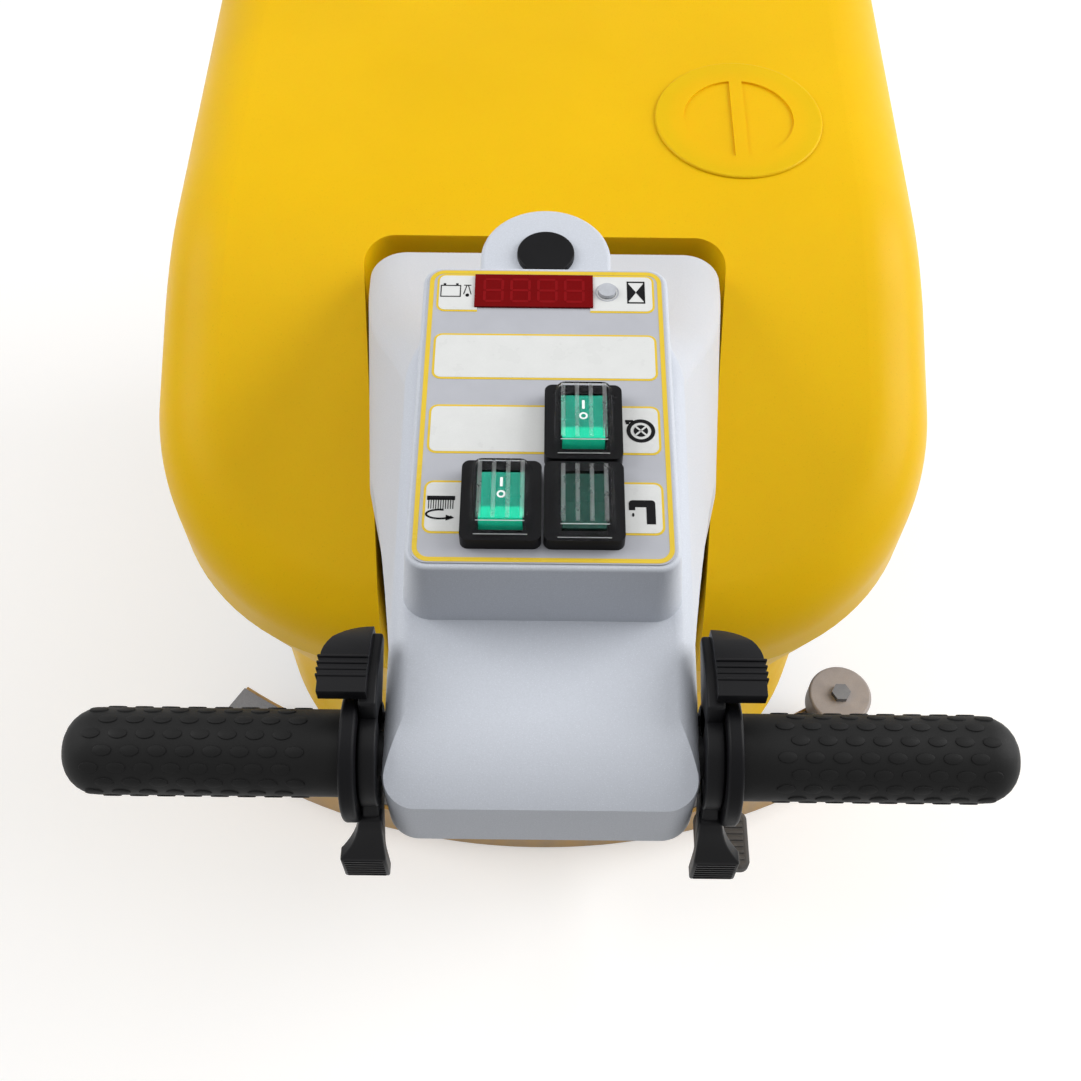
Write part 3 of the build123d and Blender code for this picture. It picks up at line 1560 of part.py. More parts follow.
def panel_form(skin, top):
    """The raised panel's block up to a level, drawn in by skin, its walls leaning in with the draft."""
    with BuildPart() as form:
        with BuildSketch(Plane.XY.offset(grip_height)):
            add(panel_plan(skin - panel_draft))
        with BuildSketch(Plane.XY.offset(top)):
            add(panel_plan(skin))
        loft()
    return form.part


def tab_plan():
    """The plan of the round-ended tab beyond the panel."""
    with BuildSketch() as plan:
        with Locations((0, tab_centre_y)):
            Circle(tab_half_width)
            Rectangle(
                2 * tab_half_width,
                tab_centre_y - panel_far_y + panel_corner,
                align=(Align.CENTER, Align.MAX),
            )
    return plan.sketch


board_y = panel_far_y - shell_wall - plate_gap - board_length / 2
post_inset = board_post_radius + plate_gap

def head_form(skin):
    """The head's upper form, drawn in by skin, its top rolling down to the rear edge."""
    with BuildPart() as form:
        extrude(head_section(grip_height, skin), amount=head_cover - skin)
        fillet(form.faces().sort_by(Axis.Z)[-1].edges(), head_round - skin)
        with BuildSketch(Plane.YZ):
            with Locations((head_rear_y + head_roll, head_top - head_roll_radius)):
                Rectangle(2 * head_roll_radius, 2 * head_roll_radius, align=(Align.MAX, Align.MIN))
                Circle(head_roll_radius - skin, mode=Mode.SUBTRACT)
        extrude(amount=2 * head_half_width, both=True, mode=Mode.SUBTRACT)
    return form.part


# Console housing: the head's upper shell with the raised panel, hollow and open below, and the tab
tab_bottom = head_top - shell_wall
with BuildPart() as console_housing:
    add(head_form(0))
    with BuildSketch(Plane.XY.offset(tab_bottom)):
        add(tab_plan())
    extrude(amount=tab_top - tab_bottom)
    fillet(console_housing.faces().sort_by(Axis.Z)[-1].edges(), tab_round)
    add(panel_form(0, panel_top))
    fillet(console_housing.faces().sort_by(Axis.Z)[-1].edges(), panel_round)
    add(head_form(shell_wall), mode=Mode.SUBTRACT)
    add(panel_form(shell_wall, panel_top - shell_wall), mode=Mode.SUBTRACT)
    with BuildSketch(Plane.XY.offset(panel_top)):
        with Locations(*switch_spots):
            Rectangle(frame_body_width + 2 * cutout_play, frame_body_length + 2 * cutout_play)
        with Locations((display_x, display_y)):
            Rectangle(display_width - 2 * display_lip, display_length - 2 * display_lip)
        with Locations((button_x, display_y)):
            Circle(button_radius + shaft_fit)
    extrude(amount=-2 * shell_wall, mode=Mode.SUBTRACT)
    with BuildSketch(Plane.XY.offset(tab_top)):
        with Locations((0, tab_centre_y)):
            Circle(plug_stem_radius + shaft_fit)
    extrude(amount=tab_bottom - tab_top, mode=Mode.SUBTRACT)
    extrude(bar_holes(), amount=2 * head_half_width, both=True, mode=Mode.SUBTRACT)
    with BuildSketch(Plane.XY.offset(panel_top - shell_wall)):
        with Locations((0, board_y)):
            with GridLocations(board_width - 2 * post_inset, board_length - 2 * post_inset, 2, 2):
                Circle(board_post_radius)
    extrude(amount=-board_post_length)
console_housing.part.label = "console_housing"
export_step(console_housing.part, "parts/console_housing.step")

# Control board on the posts under the display, with the display module and the button's switch
with BuildPart() as control_board:
    board_top = panel_top - shell_wall - board_post_length
    with BuildSketch(Plane.XY.offset(board_top)):
        with Locations((0, board_y)):
            Rectangle(board_width, board_length)
    extrude(amount=-board_thickness)
    module_margin = display_lip + display_module_gap
    with BuildSketch(Plane.XY.offset(board_top)):
        with Locations((display_x, display_y)):
            Rectangle(display_width - 2 * module_margin, display_length - 2 * module_margin)
    extrude(amount=board_post_length)
    with BuildSketch(Plane.XY.offset(board_top)):
        with Locations((button_x, display_y)):
            Rectangle(2 * button_radius, 2 * button_radius)
    extrude(amount=label_top + button_rise - button_length - button_travel - plate_gap - board_top)
control_board.part.label = "control_board"
export_step(control_board.part, "parts/control_board.step")

# Printed panel label with its cut-outs
with BuildPart() as panel_label:
    with BuildSketch(Plane.XY.offset(panel_top)):
        add(panel_plan(label_margin + panel_round))
        with Locations(*switch_spots):
            Rectangle(
                frame_body_width + 2 * cutout_play,
                frame_body_length + 2 * cutout_play,
                mode=Mode.SUBTRACT,
            )
        with Locations((display_x, display_y)):
            Rectangle(display_width + cutout_play, display_length + cutout_play, mode=Mode.SUBTRACT)
        with Locations((button_x, display_y)):
            Circle(button_radius + cutout_play, mode=Mode.SUBTRACT)
    extrude(amount=label_thickness)
panel_label.part.label = "panel_label"
export_step(panel_label.part, "parts/panel_label.step")

# Red display window
with BuildPart() as display_window:
    with BuildSketch(Plane.XY.offset(panel_top)):
        with Locations((display_x, display_y)):
            Rectangle(display_width, display_length)
    extrude(amount=display_thickness)
display_window.part.label = "display_window"
export_step(display_window.part, "parts/display_window.step")

# Hour button
with BuildPart() as hour_button:
    with BuildSketch(Plane.XY.offset(label_top + button_rise)):
        with Locations((button_x, display_y)):
            Circle(button_radius)
    extrude(amount=-button_length)
hour_button.part.label = "hour_button"
export_step(hour_button.part, "parts/hour_button.step")

# Switch frames with their bodies, clear boots over them, and a rocker in each
cavity_width = rocker_width + 2 * rocker_play
cavity_length = rocker_length + 2 * rocker_end_room
with BuildPart() as switch_frames:
    with BuildSketch(Plane.XY.offset(label_top)):
        with Locations(*switch_spots):
            RectangleRounded(frame_width, frame_length, boot_round)
    extrude(amount=frame_height)
    with BuildSketch(Plane.XY.offset(label_top)):
        with Locations(*switch_spots):
            Rectangle(frame_body_width, frame_body_length)
    extrude(amount=-frame_body_depth)
    with BuildSketch(Plane.XY.offset(frame_top)):
        with Locations(*switch_spots):
            Rectangle(cavity_width, cavity_length)
    extrude(amount=-frame_cavity_depth - frame_height, mode=Mode.SUBTRACT)
    for spot_x, spot_y in switch_spots:
        with BuildSketch(Plane.YZ.offset(spot_x)):
            with Locations((spot_y, rocker_axis_z)):
                Circle(rocker_pin_radius + shaft_fit)
        pin_reach = rocker_width / 2 + rocker_pin_length + shaft_fit
        extrude(amount=pin_reach, both=True, mode=Mode.SUBTRACT)
switch_frames.part.label = "switch_frames"
export_step(switch_frames.part, "parts/switch_frames.step")

with BuildPart() as switch_boots:
    with BuildSketch(Plane.XY.offset(frame_top)):
        with Locations(*switch_spots):
            RectangleRounded(frame_width - 2 * boot_margin, frame_length - 2 * boot_margin, boot_round)
    extrude(amount=boot_height)
    fillet(switch_boots.faces().group_by(Axis.Z)[-1].edges(), boot_round - boot_wall)
    with BuildSketch(Plane.XY.offset(frame_top)):
        with Locations(*switch_spots):
            RectangleRounded(
                frame_width - 2 * boot_margin - 2 * boot_wall,
                frame_length - 2 * boot_margin - 2 * boot_wall,
                boot_round - boot_wall,
            )
    extrude(amount=boot_height - boot_wall, mode=Mode.SUBTRACT)
switch_boots.part.label = "switch_boots"
export_step(switch_boots.part, "parts/switch_boots.step")

for name, spot, tilt in (
    ("vacuum_rocker", switch_spots[0], -rocker_tilt),
    ("solution_rocker", switch_spots[1], rocker_tilt),
    ("brush_rocker", switch_spots[2], -rocker_tilt),
):
    rocker_plane = Plane(
        origin=(*spot, rocker_axis_z),
        x_dir=(0, cos(radians(tilt)), sin(radians(tilt))),
        z_dir=(1, 0, 0),
    )
    with BuildPart() as rocker:
        with BuildSketch(rocker_plane):
            with BuildLine():
                crown = rocker_top_over_axis - rocker_length / 2 * sin(radians(rocker_tilt))
                Polyline(
                    (-rocker_length / 2, rocker_top_over_axis),
                    (0, crown),
                    (rocker_length / 2, rocker_top_over_axis),
                    (rocker_length / 2, 0),
                    (rocker_foot / 2, rocker_top_over_axis - rocker_height),
                    (-rocker_foot / 2, rocker_top_over_axis - rocker_height),
                    (-rocker_length / 2, 0),
                    close=True,
                )
            make_face()
        extrude(amount=rocker_width / 2, both=True)
        with BuildSketch(rocker_plane):
            Circle(rocker_pin_radius)
        extrude(amount=rocker_width / 2 + rocker_pin_length, both=True)
    rocker.part.label = name
    export_step(rocker.part, f"parts/{name}.step")

# Blanking plug in the tab
with BuildPart() as blanking_plug:
    with BuildSketch(Plane.XY.offset(tab_top)):
        with Locations((0, tab_centre_y)):
            Circle(plug_radius)
    extrude(amount=plug_thickness)
    fillet(blanking_plug.edges().sort_by(Axis.Z)[-1], plug_round)
    with BuildSketch(Plane.XY.offset(tab_top)):
        with Locations((0, tab_centre_y)):
            Circle(plug_stem_radius)
    extrude(amount=-plug_stem_length)
blanking_plug.part.label = "blanking_plug"
export_step(blanking_plug.part, "parts/blanking_plug.step")

# Handlebar tube through the head
with BuildPart() as handlebar_tube:
    with BuildSketch(Plane.YZ):
        with Locations((grip_y, grip_height)):
            Circle(bar_radius)
            Circle(bar_radius - bar_wall, mode=Mode.SUBTRACT)
    extrude(amount=grip_outer_x - grip_end_wall, both=True)
handlebar_tube.part.label = "handlebar_tube"
export_step(handlebar_tube.part, "parts/handlebar_tube.step")

# Rubber grips with rounded ends
for side, name in sides:
    with BuildPart() as grip:
        with BuildSketch(Plane.YZ.offset(side * grip_inner_x)):
            with Locations((grip_y, grip_height)):
                Circle(grip_radius)
        extrude(amount=side * grip_length)
        fillet(grip.edges().sort_by(Axis.X)[-1 if side > 0 else 0], grip_end_round)
        with BuildSketch(Plane.YZ.offset(side * grip_inner_x)):
            with Locations((grip_y, grip_height)):
                Circle(bar_radius + shaft_fit)
        extrude(amount=side * (grip_length - grip_end_wall + shaft_fit), mode=Mode.SUBTRACT)
    grip.part.label = f"{name}_grip"
    export_step(grip.part, f"parts/{name}_grip.step")

# Flange discs between the levers and the grips
with BuildPart() as grip_flanges:
    for side, _ in sides:
        with BuildSketch(Plane.YZ.offset(side * flange_inner_x)):
            with Locations((grip_y, grip_height)):
                Circle(flange_radius)
                Circle(bar_radius + shaft_fit, mode=Mode.SUBTRACT)
        extrude(amount=side * flange_thickness)
    outer_rims = grip_flanges.edges().filter_by(GeomType.CIRCLE)
    fillet(outer_rims.filter_by(lambda edge: edge.radius == flange_radius), flange_round)
grip_flanges.part.label = "grip_flanges"
export_step(grip_flanges.part, "parts/grip_flanges.step")

# Lever paddles that turn on the handlebar, each with a peg that reaches its switch in the head
paddle_near_y = grip_y + paddle_near
paddle_bend_y = paddle_near_y + paddle_flat
paddle_far_y = grip_y + paddle_far
paddle_top = grip_height + paddle_rise
paddle_front_top = paddle_top - paddle_front_drop
rear_paddle_y = grip_y - rear_paddle_setback
rear_paddle_top = grip_height - rear_paddle_drop
for side, name in sides:
    lever_start = Plane.YZ.offset(side * lever_inner_x)
    with BuildPart() as lever:
        with BuildSketch(lever_start):
            with BuildLine():
                Polyline(
                    (paddle_near_y, paddle_top - paddle_thickness),
                    (paddle_near_y, paddle_top),
                    (paddle_bend_y, paddle_top),
                    (paddle_far_y, paddle_front_top),
                    (paddle_far_y, paddle_front_top - paddle_thickness),
                    (paddle_bend_y, paddle_top - paddle_thickness),
                    close=True,
                )
            make_face()
        extrude(amount=side * paddle_reach)
        with BuildSketch(Plane.XY.offset(grip_height)) as paddle_plan:
            with Locations((side * (lever_inner_x + paddle_reach / 2), paddle_near_y)):
                Rectangle(paddle_reach, paddle_far - paddle_near, align=(Align.CENTER, Align.MIN))
            front_corners = paddle_plan.vertices().group_by(Axis.Y)[-1].sort_by(Axis.X)
            fillet(front_corners[-1 if side > 0 else 0], paddle_corner)
        extrude(amount=paddle_rise, mode=Mode.INTERSECT)
        with BuildSketch(lever_start):
            with Locations((rear_paddle_y, rear_paddle_top)):
                Rectangle(rear_paddle_thickness, rear_paddle_height, align=(Align.MIN, Align.MAX))
        extrude(amount=side * rear_paddle_reach)
        with BuildSketch(lever_start):
            with Locations((grip_y, grip_height)):
                Circle(lever_hub_radius)
            with BuildLine():
                Polyline(
                    (grip_y, grip_height),
                    (paddle_near_y, paddle_top),
                    (paddle_bend_y, paddle_top),
                    (paddle_far_y, paddle_front_top),
                    (paddle_far_y, paddle_front_top - paddle_thickness),
                    close=True,
                )
            make_face()
            with BuildLine():
                Polyline(
                    (grip_y + lever_hub_radius / 2, grip_height),
                    (grip_y - lever_hub_radius, grip_height),
                    (rear_paddle_y, rear_paddle_top),
                    (rear_paddle_y, rear_paddle_top - rear_paddle_height),
                    (rear_paddle_y + rear_paddle_thickness, rear_paddle_top - rear_paddle_height),
                    close=True,
                )
            make_face()
            with Locations((grip_y, grip_height)):
                Circle(bar_radius + shaft_fit, mode=Mode.SUBTRACT)
        extrude(amount=side * lever_hub_thickness)
        with BuildSketch(lever_start):
            with Locations((grip_y + lever_peg_circle, grip_height)):
                Circle(lever_peg_radius)
        extrude(amount=-side * lever_peg_length)
    lever.part.label = f"{name}_lever"
    export_step(lever.part, f"parts/{name}_lever.step")

# Switches under the lever pegs, on the mast's saddle plate
peg_drop = lever_peg_circle * sin(radians(lever_swing)) + lever_peg_radius
with BuildPart() as lever_switches:
    for side, _ in sides:
        microswitch_x = side * (saddle_plate_half_width - microswitch_width / 2)
        with BuildSketch(Plane.XY.offset(saddle_base)):
            with Locations((microswitch_x, grip_y + lever_peg_circle)):
                Rectangle(microswitch_width, microswitch_length)
        extrude(amount=grip_height - peg_drop - microswitch_gap - saddle_base)
lever_switches.part.label = "lever_switches"
export_step(lever_switches.part, "parts/lever_switches.step")
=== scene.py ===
"""Dress the floor scrubber.

Finishes for its solids, and its grips, levers, panel print, boots, tyres and bristles.
"""

import math
from contextlib import contextmanager

import bpy
from mathutils import Matrix, Vector


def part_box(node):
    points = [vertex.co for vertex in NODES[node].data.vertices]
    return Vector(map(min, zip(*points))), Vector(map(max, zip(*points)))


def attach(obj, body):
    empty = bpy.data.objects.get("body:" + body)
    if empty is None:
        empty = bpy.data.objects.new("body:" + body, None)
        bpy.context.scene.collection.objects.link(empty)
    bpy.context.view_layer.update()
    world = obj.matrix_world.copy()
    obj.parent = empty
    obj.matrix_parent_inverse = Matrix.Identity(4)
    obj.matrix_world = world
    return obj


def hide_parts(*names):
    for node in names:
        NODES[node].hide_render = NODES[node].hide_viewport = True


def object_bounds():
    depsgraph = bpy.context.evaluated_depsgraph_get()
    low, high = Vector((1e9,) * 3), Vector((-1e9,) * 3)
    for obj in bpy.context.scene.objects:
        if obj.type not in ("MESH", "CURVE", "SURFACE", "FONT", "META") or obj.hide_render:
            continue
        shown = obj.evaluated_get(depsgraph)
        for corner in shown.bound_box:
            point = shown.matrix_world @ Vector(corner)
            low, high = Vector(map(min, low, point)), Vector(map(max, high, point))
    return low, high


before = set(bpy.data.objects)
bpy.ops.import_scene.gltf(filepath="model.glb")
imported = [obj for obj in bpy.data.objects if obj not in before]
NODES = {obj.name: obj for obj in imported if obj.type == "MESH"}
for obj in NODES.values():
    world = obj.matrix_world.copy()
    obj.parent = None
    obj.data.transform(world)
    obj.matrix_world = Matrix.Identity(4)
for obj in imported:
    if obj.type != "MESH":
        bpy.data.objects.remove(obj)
cad_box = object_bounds()

bl_info = {
    "name": "Floor scrubber dressing",
    "version": (1, 0, 0),
    "blender": (4, 5, 0),
    "location": "3D View > Sidebar > Scrubber",
    "description": "Finishes and fine pieces for a walk-behind floor scrubber",
    "category": "Object",
}

MM = 0.001
X, Z = 0, 2
# How near counts as the same place, how squarely a face looks one way, and what counts as sharp
HAIR = 0.02 * MM
SQUARE = 0.9
CREASE = math.radians(35)

grip_low, grip_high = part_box("right_grip")
grip_axis = (grip_low + grip_high) / 2
label_low, label_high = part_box("panel_label")
label_top = label_high.z
display_low, display_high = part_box("display_window")
boots_low, boots_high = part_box("switch_boots")
button_low, button_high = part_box("hour_button")
bristles_low, bristles_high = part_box("brush_bristles")
block_low, block_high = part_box("brush_block")
pedal_low, pedal_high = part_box("pedal_pad")


# Property helpers
def length(label, description, millimetres):
    """A size in metres, written in millimetres."""
    return bpy.props.FloatProperty(
        name=label, description=description, default=millimetres * MM, min=0, unit="LENGTH", precision=5
    )


def angle(label, description, degrees):
    """An angle, written in degrees."""
    return bpy.props.FloatProperty(
        name=label, description=description, default=math.radians(degrees), subtype="ANGLE"
    )


def number(label, description, default):
    """A plain number."""
    return bpy.props.FloatProperty(name=label, description=description, default=default, min=0)


def count(label, description, default):
    """How many of a piece there are."""
    return bpy.props.IntProperty(name=label, description=description, default=default, min=1)


def colour(label, description, red, green, blue):
    """A surface colour in linear red, green and blue."""
    return bpy.props.FloatVectorProperty(
        name=label, description=description, default=(red, green, blue), min=0, max=1, subtype="COLOR"
    )


class ScrubberSizes(bpy.types.PropertyGroup):
    """Sizes of the fine pieces."""

    grip_end_round: length("Grip end round", "Rounding of a grip's outer end", 13)
    grip_pad_length: length("Grip pad length", "Length of one raised pad along the grip", 6.8)
    grip_pad_width: length("Grip pad width", "Width of one raised pad round the grip", 4.1)
    grip_pad_rise: length("Grip pad rise", "How far the pads stand out of the sleeve", 0.38)
    grip_pad_pitch: length("Grip pad pitch", "Spacing of the pads along the grip", 9.6)
    grip_pad_start: length("First grip pad", "Distance of the first pad from the grip's outer end", 13)
    grip_pads: count("Grip pads", "Pads in each row", 8)
    grip_rows: count("Grip rows", "Pairs of staggered rows round a grip", 8)

    lever_web: length("Lever web", "Thickness of a lever beside the head", 6.4)
    lever_reach: length("Lever reach", "How far a thumb paddle reaches out from the head", 20.4)
    finger_reach: length("Finger reach", "How far a finger paddle reaches out from the head", 15.4)
    lever_hub: length("Lever hub", "Radius of a lever round the handlebar", 19)
    lever_bore: length("Lever bore", "Radius of the hole for the handlebar", 8.05)
    ridge_pitch: length("Ridge pitch", "Spacing of the ridges on a thumb paddle", 2.6)
    ridge_rise: length("Ridge rise", "How far the ridges stand out", 0.5)

    print_rise: length("Print rise", "Thickness of the print on the label", 0.1)
    border_width: length("Border width", "Width of the line round the label", 1.8)
    border_inset: length("Border inset", "Gap between the label's edge and the line", 0.5)
    border_round: length("Border round", "Corner of the line round the label", 6)
    row_width: length("Row width", "Width of the label's white rows", 85.5)
    row_round: length("Row round", "Corner of the white rows", 2.6)
    row_line: length("Row line", "Width of the line round each white row", 0.9)

    boot_width: length("Boot width", "Width of a switch boot at its foot", 23.9)
    boot_length: length("Boot length", "Length of a switch boot at its foot", 30.4)
    boot_rib: length("Boot rib", "Width of a boot's ribs", 1.5)
    boot_rib_rise: length("Boot rib rise", "How far a boot's ribs stand out", 0.6)
    boot_rib_pitch: length("Boot rib pitch", "Spacing of a boot's ribs", 5.1)
    boot_wall: length("Boot wall", "Thickness of a boot", 0.7)
    # The beads along a boot's near edges are pale and paint its edge highlights as lines
    boot_edge: length("Boot edge", "Width of the bead along a boot's near edges", 0.28)

    digit_width: length("Digit width", "Width of a display digit", 7.2)
    digit_height: length("Digit height", "Height of a display digit", 11.6)
    digit_pitch: length("Digit pitch", "Spacing of the display digits", 10.8)
    digit_bar: length("Digit bar", "Width of a digit's bars", 1.15)

    tread_bars: count("Tread bars", "Bars round a drive tyre", 44)
    tread_rise: length("Tread rise", "Height of the tyre's tread", 2.2)
    tread_bar: length("Tread bar", "Width of a tread bar", 8.5)

    tuft_radius: length("Tuft radius", "Radius of a tuft of bristles", 4.2)
    tuft_spread: length("Tuft spread", "Radius of a tuft at the floor", 6.6)


class ScrubberColours(bpy.types.PropertyGroup):
    """Colours of the finishes."""

    tank: colour("Tank", "Moulded yellow of the tanks", 0.80, 0.465, 0.003)
    shell: colour("Shell", "Pale grey of the column and its head", 0.57, 0.60, 0.66)
    label: colour("Label", "Grey film of the panel", 0.45, 0.46, 0.50)
    row: colour("Row", "White rows of the panel", 0.70, 0.71, 0.70)
    line: colour("Line", "Yellow lines of the panel", 0.74, 0.52, 0.03)
    ink: colour("Ink", "Black print of the panel", 0.004, 0.004, 0.005)
    display: colour("Display", "Red window of the display", 0.175, 0.002, 0.003)
    segment: colour("Segment", "Unlit bars of the display", 0.23, 0.005, 0.007)
    button: colour("Button", "Grey push button", 0.46, 0.48, 0.52)
    rocker: colour("Rocker", "Lit green rockers", 0.010, 0.20, 0.135)
    rocker_end: colour("Rocker end", "Bright near end of a lit rocker", 0.012, 0.46, 0.27)
    rocker_dark: colour("Dark rocker", "Unlit green rocker", 0.010, 0.045, 0.034)
    plastic: colour("Black plastic", "Black moulded pieces", 0.005, 0.005, 0.006)
    lever: colour("Lever", "Black levers", 0.006, 0.006, 0.007)
    rubber: colour("Rubber", "Black rubber of the grips", 0.004, 0.004, 0.004)
    pedal: colour("Pedal", "Rubber of the pedal pad", 0.07, 0.065, 0.062)
    hub: colour("Wheel hub", "Grey wheel hubs", 0.32, 0.33, 0.34)
    tyre: colour("Tyre", "Rubber of the tyres", 0.028, 0.028, 0.029)
    roller: colour("Roller", "Grey guide roller", 0.33, 0.29, 0.27)
    blade: colour("Blade", "Amber squeegee blades", 0.46, 0.26, 0.055)
    skirt: colour("Skirt", "Rubber of the splash skirt", 0.03, 0.03, 0.031)
    bristle: colour("Bristle", "Bristles of the brush", 0.10, 0.16, 0.32)
    block: colour("Block", "Plastic of the brush block", 0.05, 0.08, 0.16)
    paint: colour("Frame paint", "Powder coat of the steel frame", 0.055, 0.058, 0.062)
    cast: colour("Cast metal", "Cast gearbox and squeegee body", 0.16, 0.16, 0.165)
    deck: colour("Deck", "Plastic of the brush deck", 0.06, 0.062, 0.066)
    steel: colour("Steel", "Plated steel", 0.62, 0.61, 0.59)
    board: colour("Board", "Circuit board", 0.015, 0.11, 0.04)
    battery: colour("Battery", "Battery cases", 0.05, 0.052, 0.056)
    floor: colour("Floor", "Floor under the scrubber", 0.80, 0.80, 0.80)


class ScrubberStage(bpy.types.PropertyGroup):
    """Light and camera."""

    camera_back: length("Camera back", "Camera's distance behind the grips", 192)
    camera_up: length("Camera up", "Camera's height over the grips", 453)
    camera_left: length("Camera left", "Camera's distance left of the middle", 1)
    camera_lens: number("Camera lens", "Focal length in millimetres on a 36 mm frame", 44.96)
    camera_pitch: angle("Camera pitch", "Camera's tilt below the horizon", 58)
    camera_roll: angle("Camera roll", "Camera's turn about its own axis", 0.6)
    key_power: number("Key lamp", "Power of the large lamp on the right", 69)
    top_power: number("Top lamp", "Power of the lamp overhead", 13)
    fill_power: number("Fill lamp", "Power of the lamp on the left", 40)
    room_light: number("Room light", "Strength of the even light all round", 0.30)
    floor_glow: number("Floor glow", "What is added to the floor so that it shows as white", 0.30)
    far_glow: number("Far glow", "What is added to the floor beyond the reach of the lamps", 0.78)


# Finishes
class Shading:
    """A node tree in the making."""

    def __init__(self, tree):
        self.tree = tree

    def fill(self, socket, value):
        """Link an input to another node's output, or set it."""
        if isinstance(value, bpy.types.NodeSocket):
            self.tree.links.new(value, socket)
        else:
            socket.default_value = value

    def give(self, node, **inputs):
        """Fill a node's inputs by their names, written with _ for a space."""
        for name, value in inputs.items():
            self.fill(node.inputs[name.replace("_", " ")], value)

    def add(self, kind, **inputs):
        """A new node with those inputs."""
        node = self.tree.nodes.new(f"ShaderNode{kind}")
        self.give(node, **inputs)
        return node

    def reckon(self, kind, operation, *values):
        """The number that a Math or VectorMath node makes of its inputs."""
        node = self.add(kind)
        node.operation = operation
        for socket, value in zip(node.inputs, values):
            self.fill(socket, value)
        return node.outputs["Value"]

    def spread(self, value, low, high, from_low=0.3, from_high=0.7):
        """Stretch a value, by default a noise, over a range of numbers."""
        ends = {"From_Min": from_low, "From_Max": from_high, "To_Min": low, "To_Max": high}
        return self.add("MapRange", Value=value, **ends).outputs["Result"]

    def seen_only(self):
        """1 for rays that show the background: from the camera, in a mirror or through glass."""
        path = self.add("LightPath")
        seen = path.outputs["Is Camera Ray"]
        for ray in ("Is Glossy Ray", "Is Transmission Ray"):
            seen = self.reckon("Math", "MAXIMUM", seen, path.outputs[ray])
        return seen


class Finish(Shading):
    """A material in the making, with an Object coordinate to hang patterns on."""

    def __init__(self, name):
        self.material = bpy.data.materials.new(name)
        self.material.use_nodes = True
        super().__init__(self.material.node_tree)
        self.place = self.add("TexCoord").outputs["Object"]

    def noise(self, size, detail=2, stretch=(1, 1, 1)):
        """Noise with patches of about that size in mm, drawn out along the axes that stretch shrinks."""
        mapping = self.add("Mapping", Vector=self.place, Scale=stretch)
        vector = mapping.outputs["Vector"]
        return self.add("TexNoise", Vector=vector, Scale=1 / (size * MM), Detail=detail).outputs["Fac"]

    def blend(self, factor, first, second):
        """Mix two colours, each given as a colour or as a socket, by a factor socket."""
        mix = self.add("Mix", Factor=factor)
        mix.data_type = "RGBA"
        for socket, tone in zip(mix.inputs[6:8], (first, second)):
            self.fill(socket, tone if isinstance(tone, bpy.types.NodeSocket) else (*tone, 1))
        return mix.outputs[2]

    def cloudy(self, pattern, tone, dark, light):
        """A colour that a noise makes darker and lighter."""
        return self.blend(self.spread(pattern, 0, 1), shaded(tone, dark), shaded(tone, light))

    def done(self, heights, **inputs):
        """Raise the surface by heights, each with its depth in mm, and fill the shader's inputs."""
        for height, depth in heights:
            raised = {"Normal": inputs["Normal"]} if "Normal" in inputs else {}
            bump = self.add("Bump", Height=height, Distance=depth * MM, **raised)
            inputs["Normal"] = bump.outputs["Normal"]
        self.give(self.tree.nodes["Principled BSDF"], **inputs)
        return self.material


def shaded(tone, factor):
    """A colour made lighter or darker."""
    return tuple(min(1.0, part * factor) for part in tone)


def moulded(name, tone, roughness, cloud, grain, depth, shade, stretch=(1, 1, 1), **inputs):
    """A finish with soft clouds of tone, a fine grain in relief and a gloss that varies with both."""
    finish = Finish(name)
    clouds = finish.noise(cloud, 4, stretch)
    grains = finish.noise(grain, 3, stretch)
    tint = finish.cloudy(clouds, tone, 1 - shade, 1 + shade)
    tint = finish.blend(finish.spread(grains, 0, 0.5, 0.35, 0.75), tint, shaded(tone, 1 - 2 * shade))
    gloss = finish.spread(clouds, max(0.03, roughness - 0.06), roughness + 0.08)
    return finish.done([(grains, depth)], Base_Color=tint, Roughness=gloss, **inputs)


def tank_finish(tone):
    """Rotation-moulded yellow: slow waves, orange peel, and dust and small pores in the skin."""
    finish = Finish("tank_yellow")
    waves, clouds = finish.noise(60), finish.noise(170, 5)
    peel, pores = finish.noise(2.6), finish.noise(0.9)
    tint = finish.cloudy(clouds, tone, 0.95, 1.04)
    tint = finish.blend(finish.spread(pores, 0, 0.45, 0.62, 0.75), tint, shaded(tone, 0.72))
    return finish.done(
        [(waves, 0.5), (peel, 0.05), (pores, 0.012)],
        Base_Color=tint, Roughness=finish.spread(waves, 0.34, 0.46), Specular_IOR_Level=0.1,
        Subsurface_Weight=0.2, Subsurface_Radius=(0.016, 0.005, 0.0006), Subsurface_Scale=1,
    )


def shell_finish(tone):
    """Pale grey moulding with a fine etched grain, and painted glints: tiny spots of lighter colour."""
    finish = Finish("shell_grey")
    clouds, etch = finish.noise(120, 4), finish.noise(0.55)
    painted_glints = finish.add("TexVoronoi", Vector=finish.place, Scale=1 / (0.8 * MM)).outputs["Distance"]
    tint = finish.cloudy(clouds, tone, 0.96, 1.03)
    tint = finish.blend(finish.spread(etch, 0, 0.5), tint, shaded(tone, 0.86))
    # Painted glints: tiny spots lighter than the grey stand in for sparkles of reflected light
    tint = finish.blend(finish.spread(painted_glints, 0.7, 0, 0.05, 0.22), tint, shaded(tone, 1.3))
    return finish.done(
        [(clouds, 0.3), (etch, 0.035)], Base_Color=tint, Roughness=finish.spread(etch, 0.42, 0.6)
    )


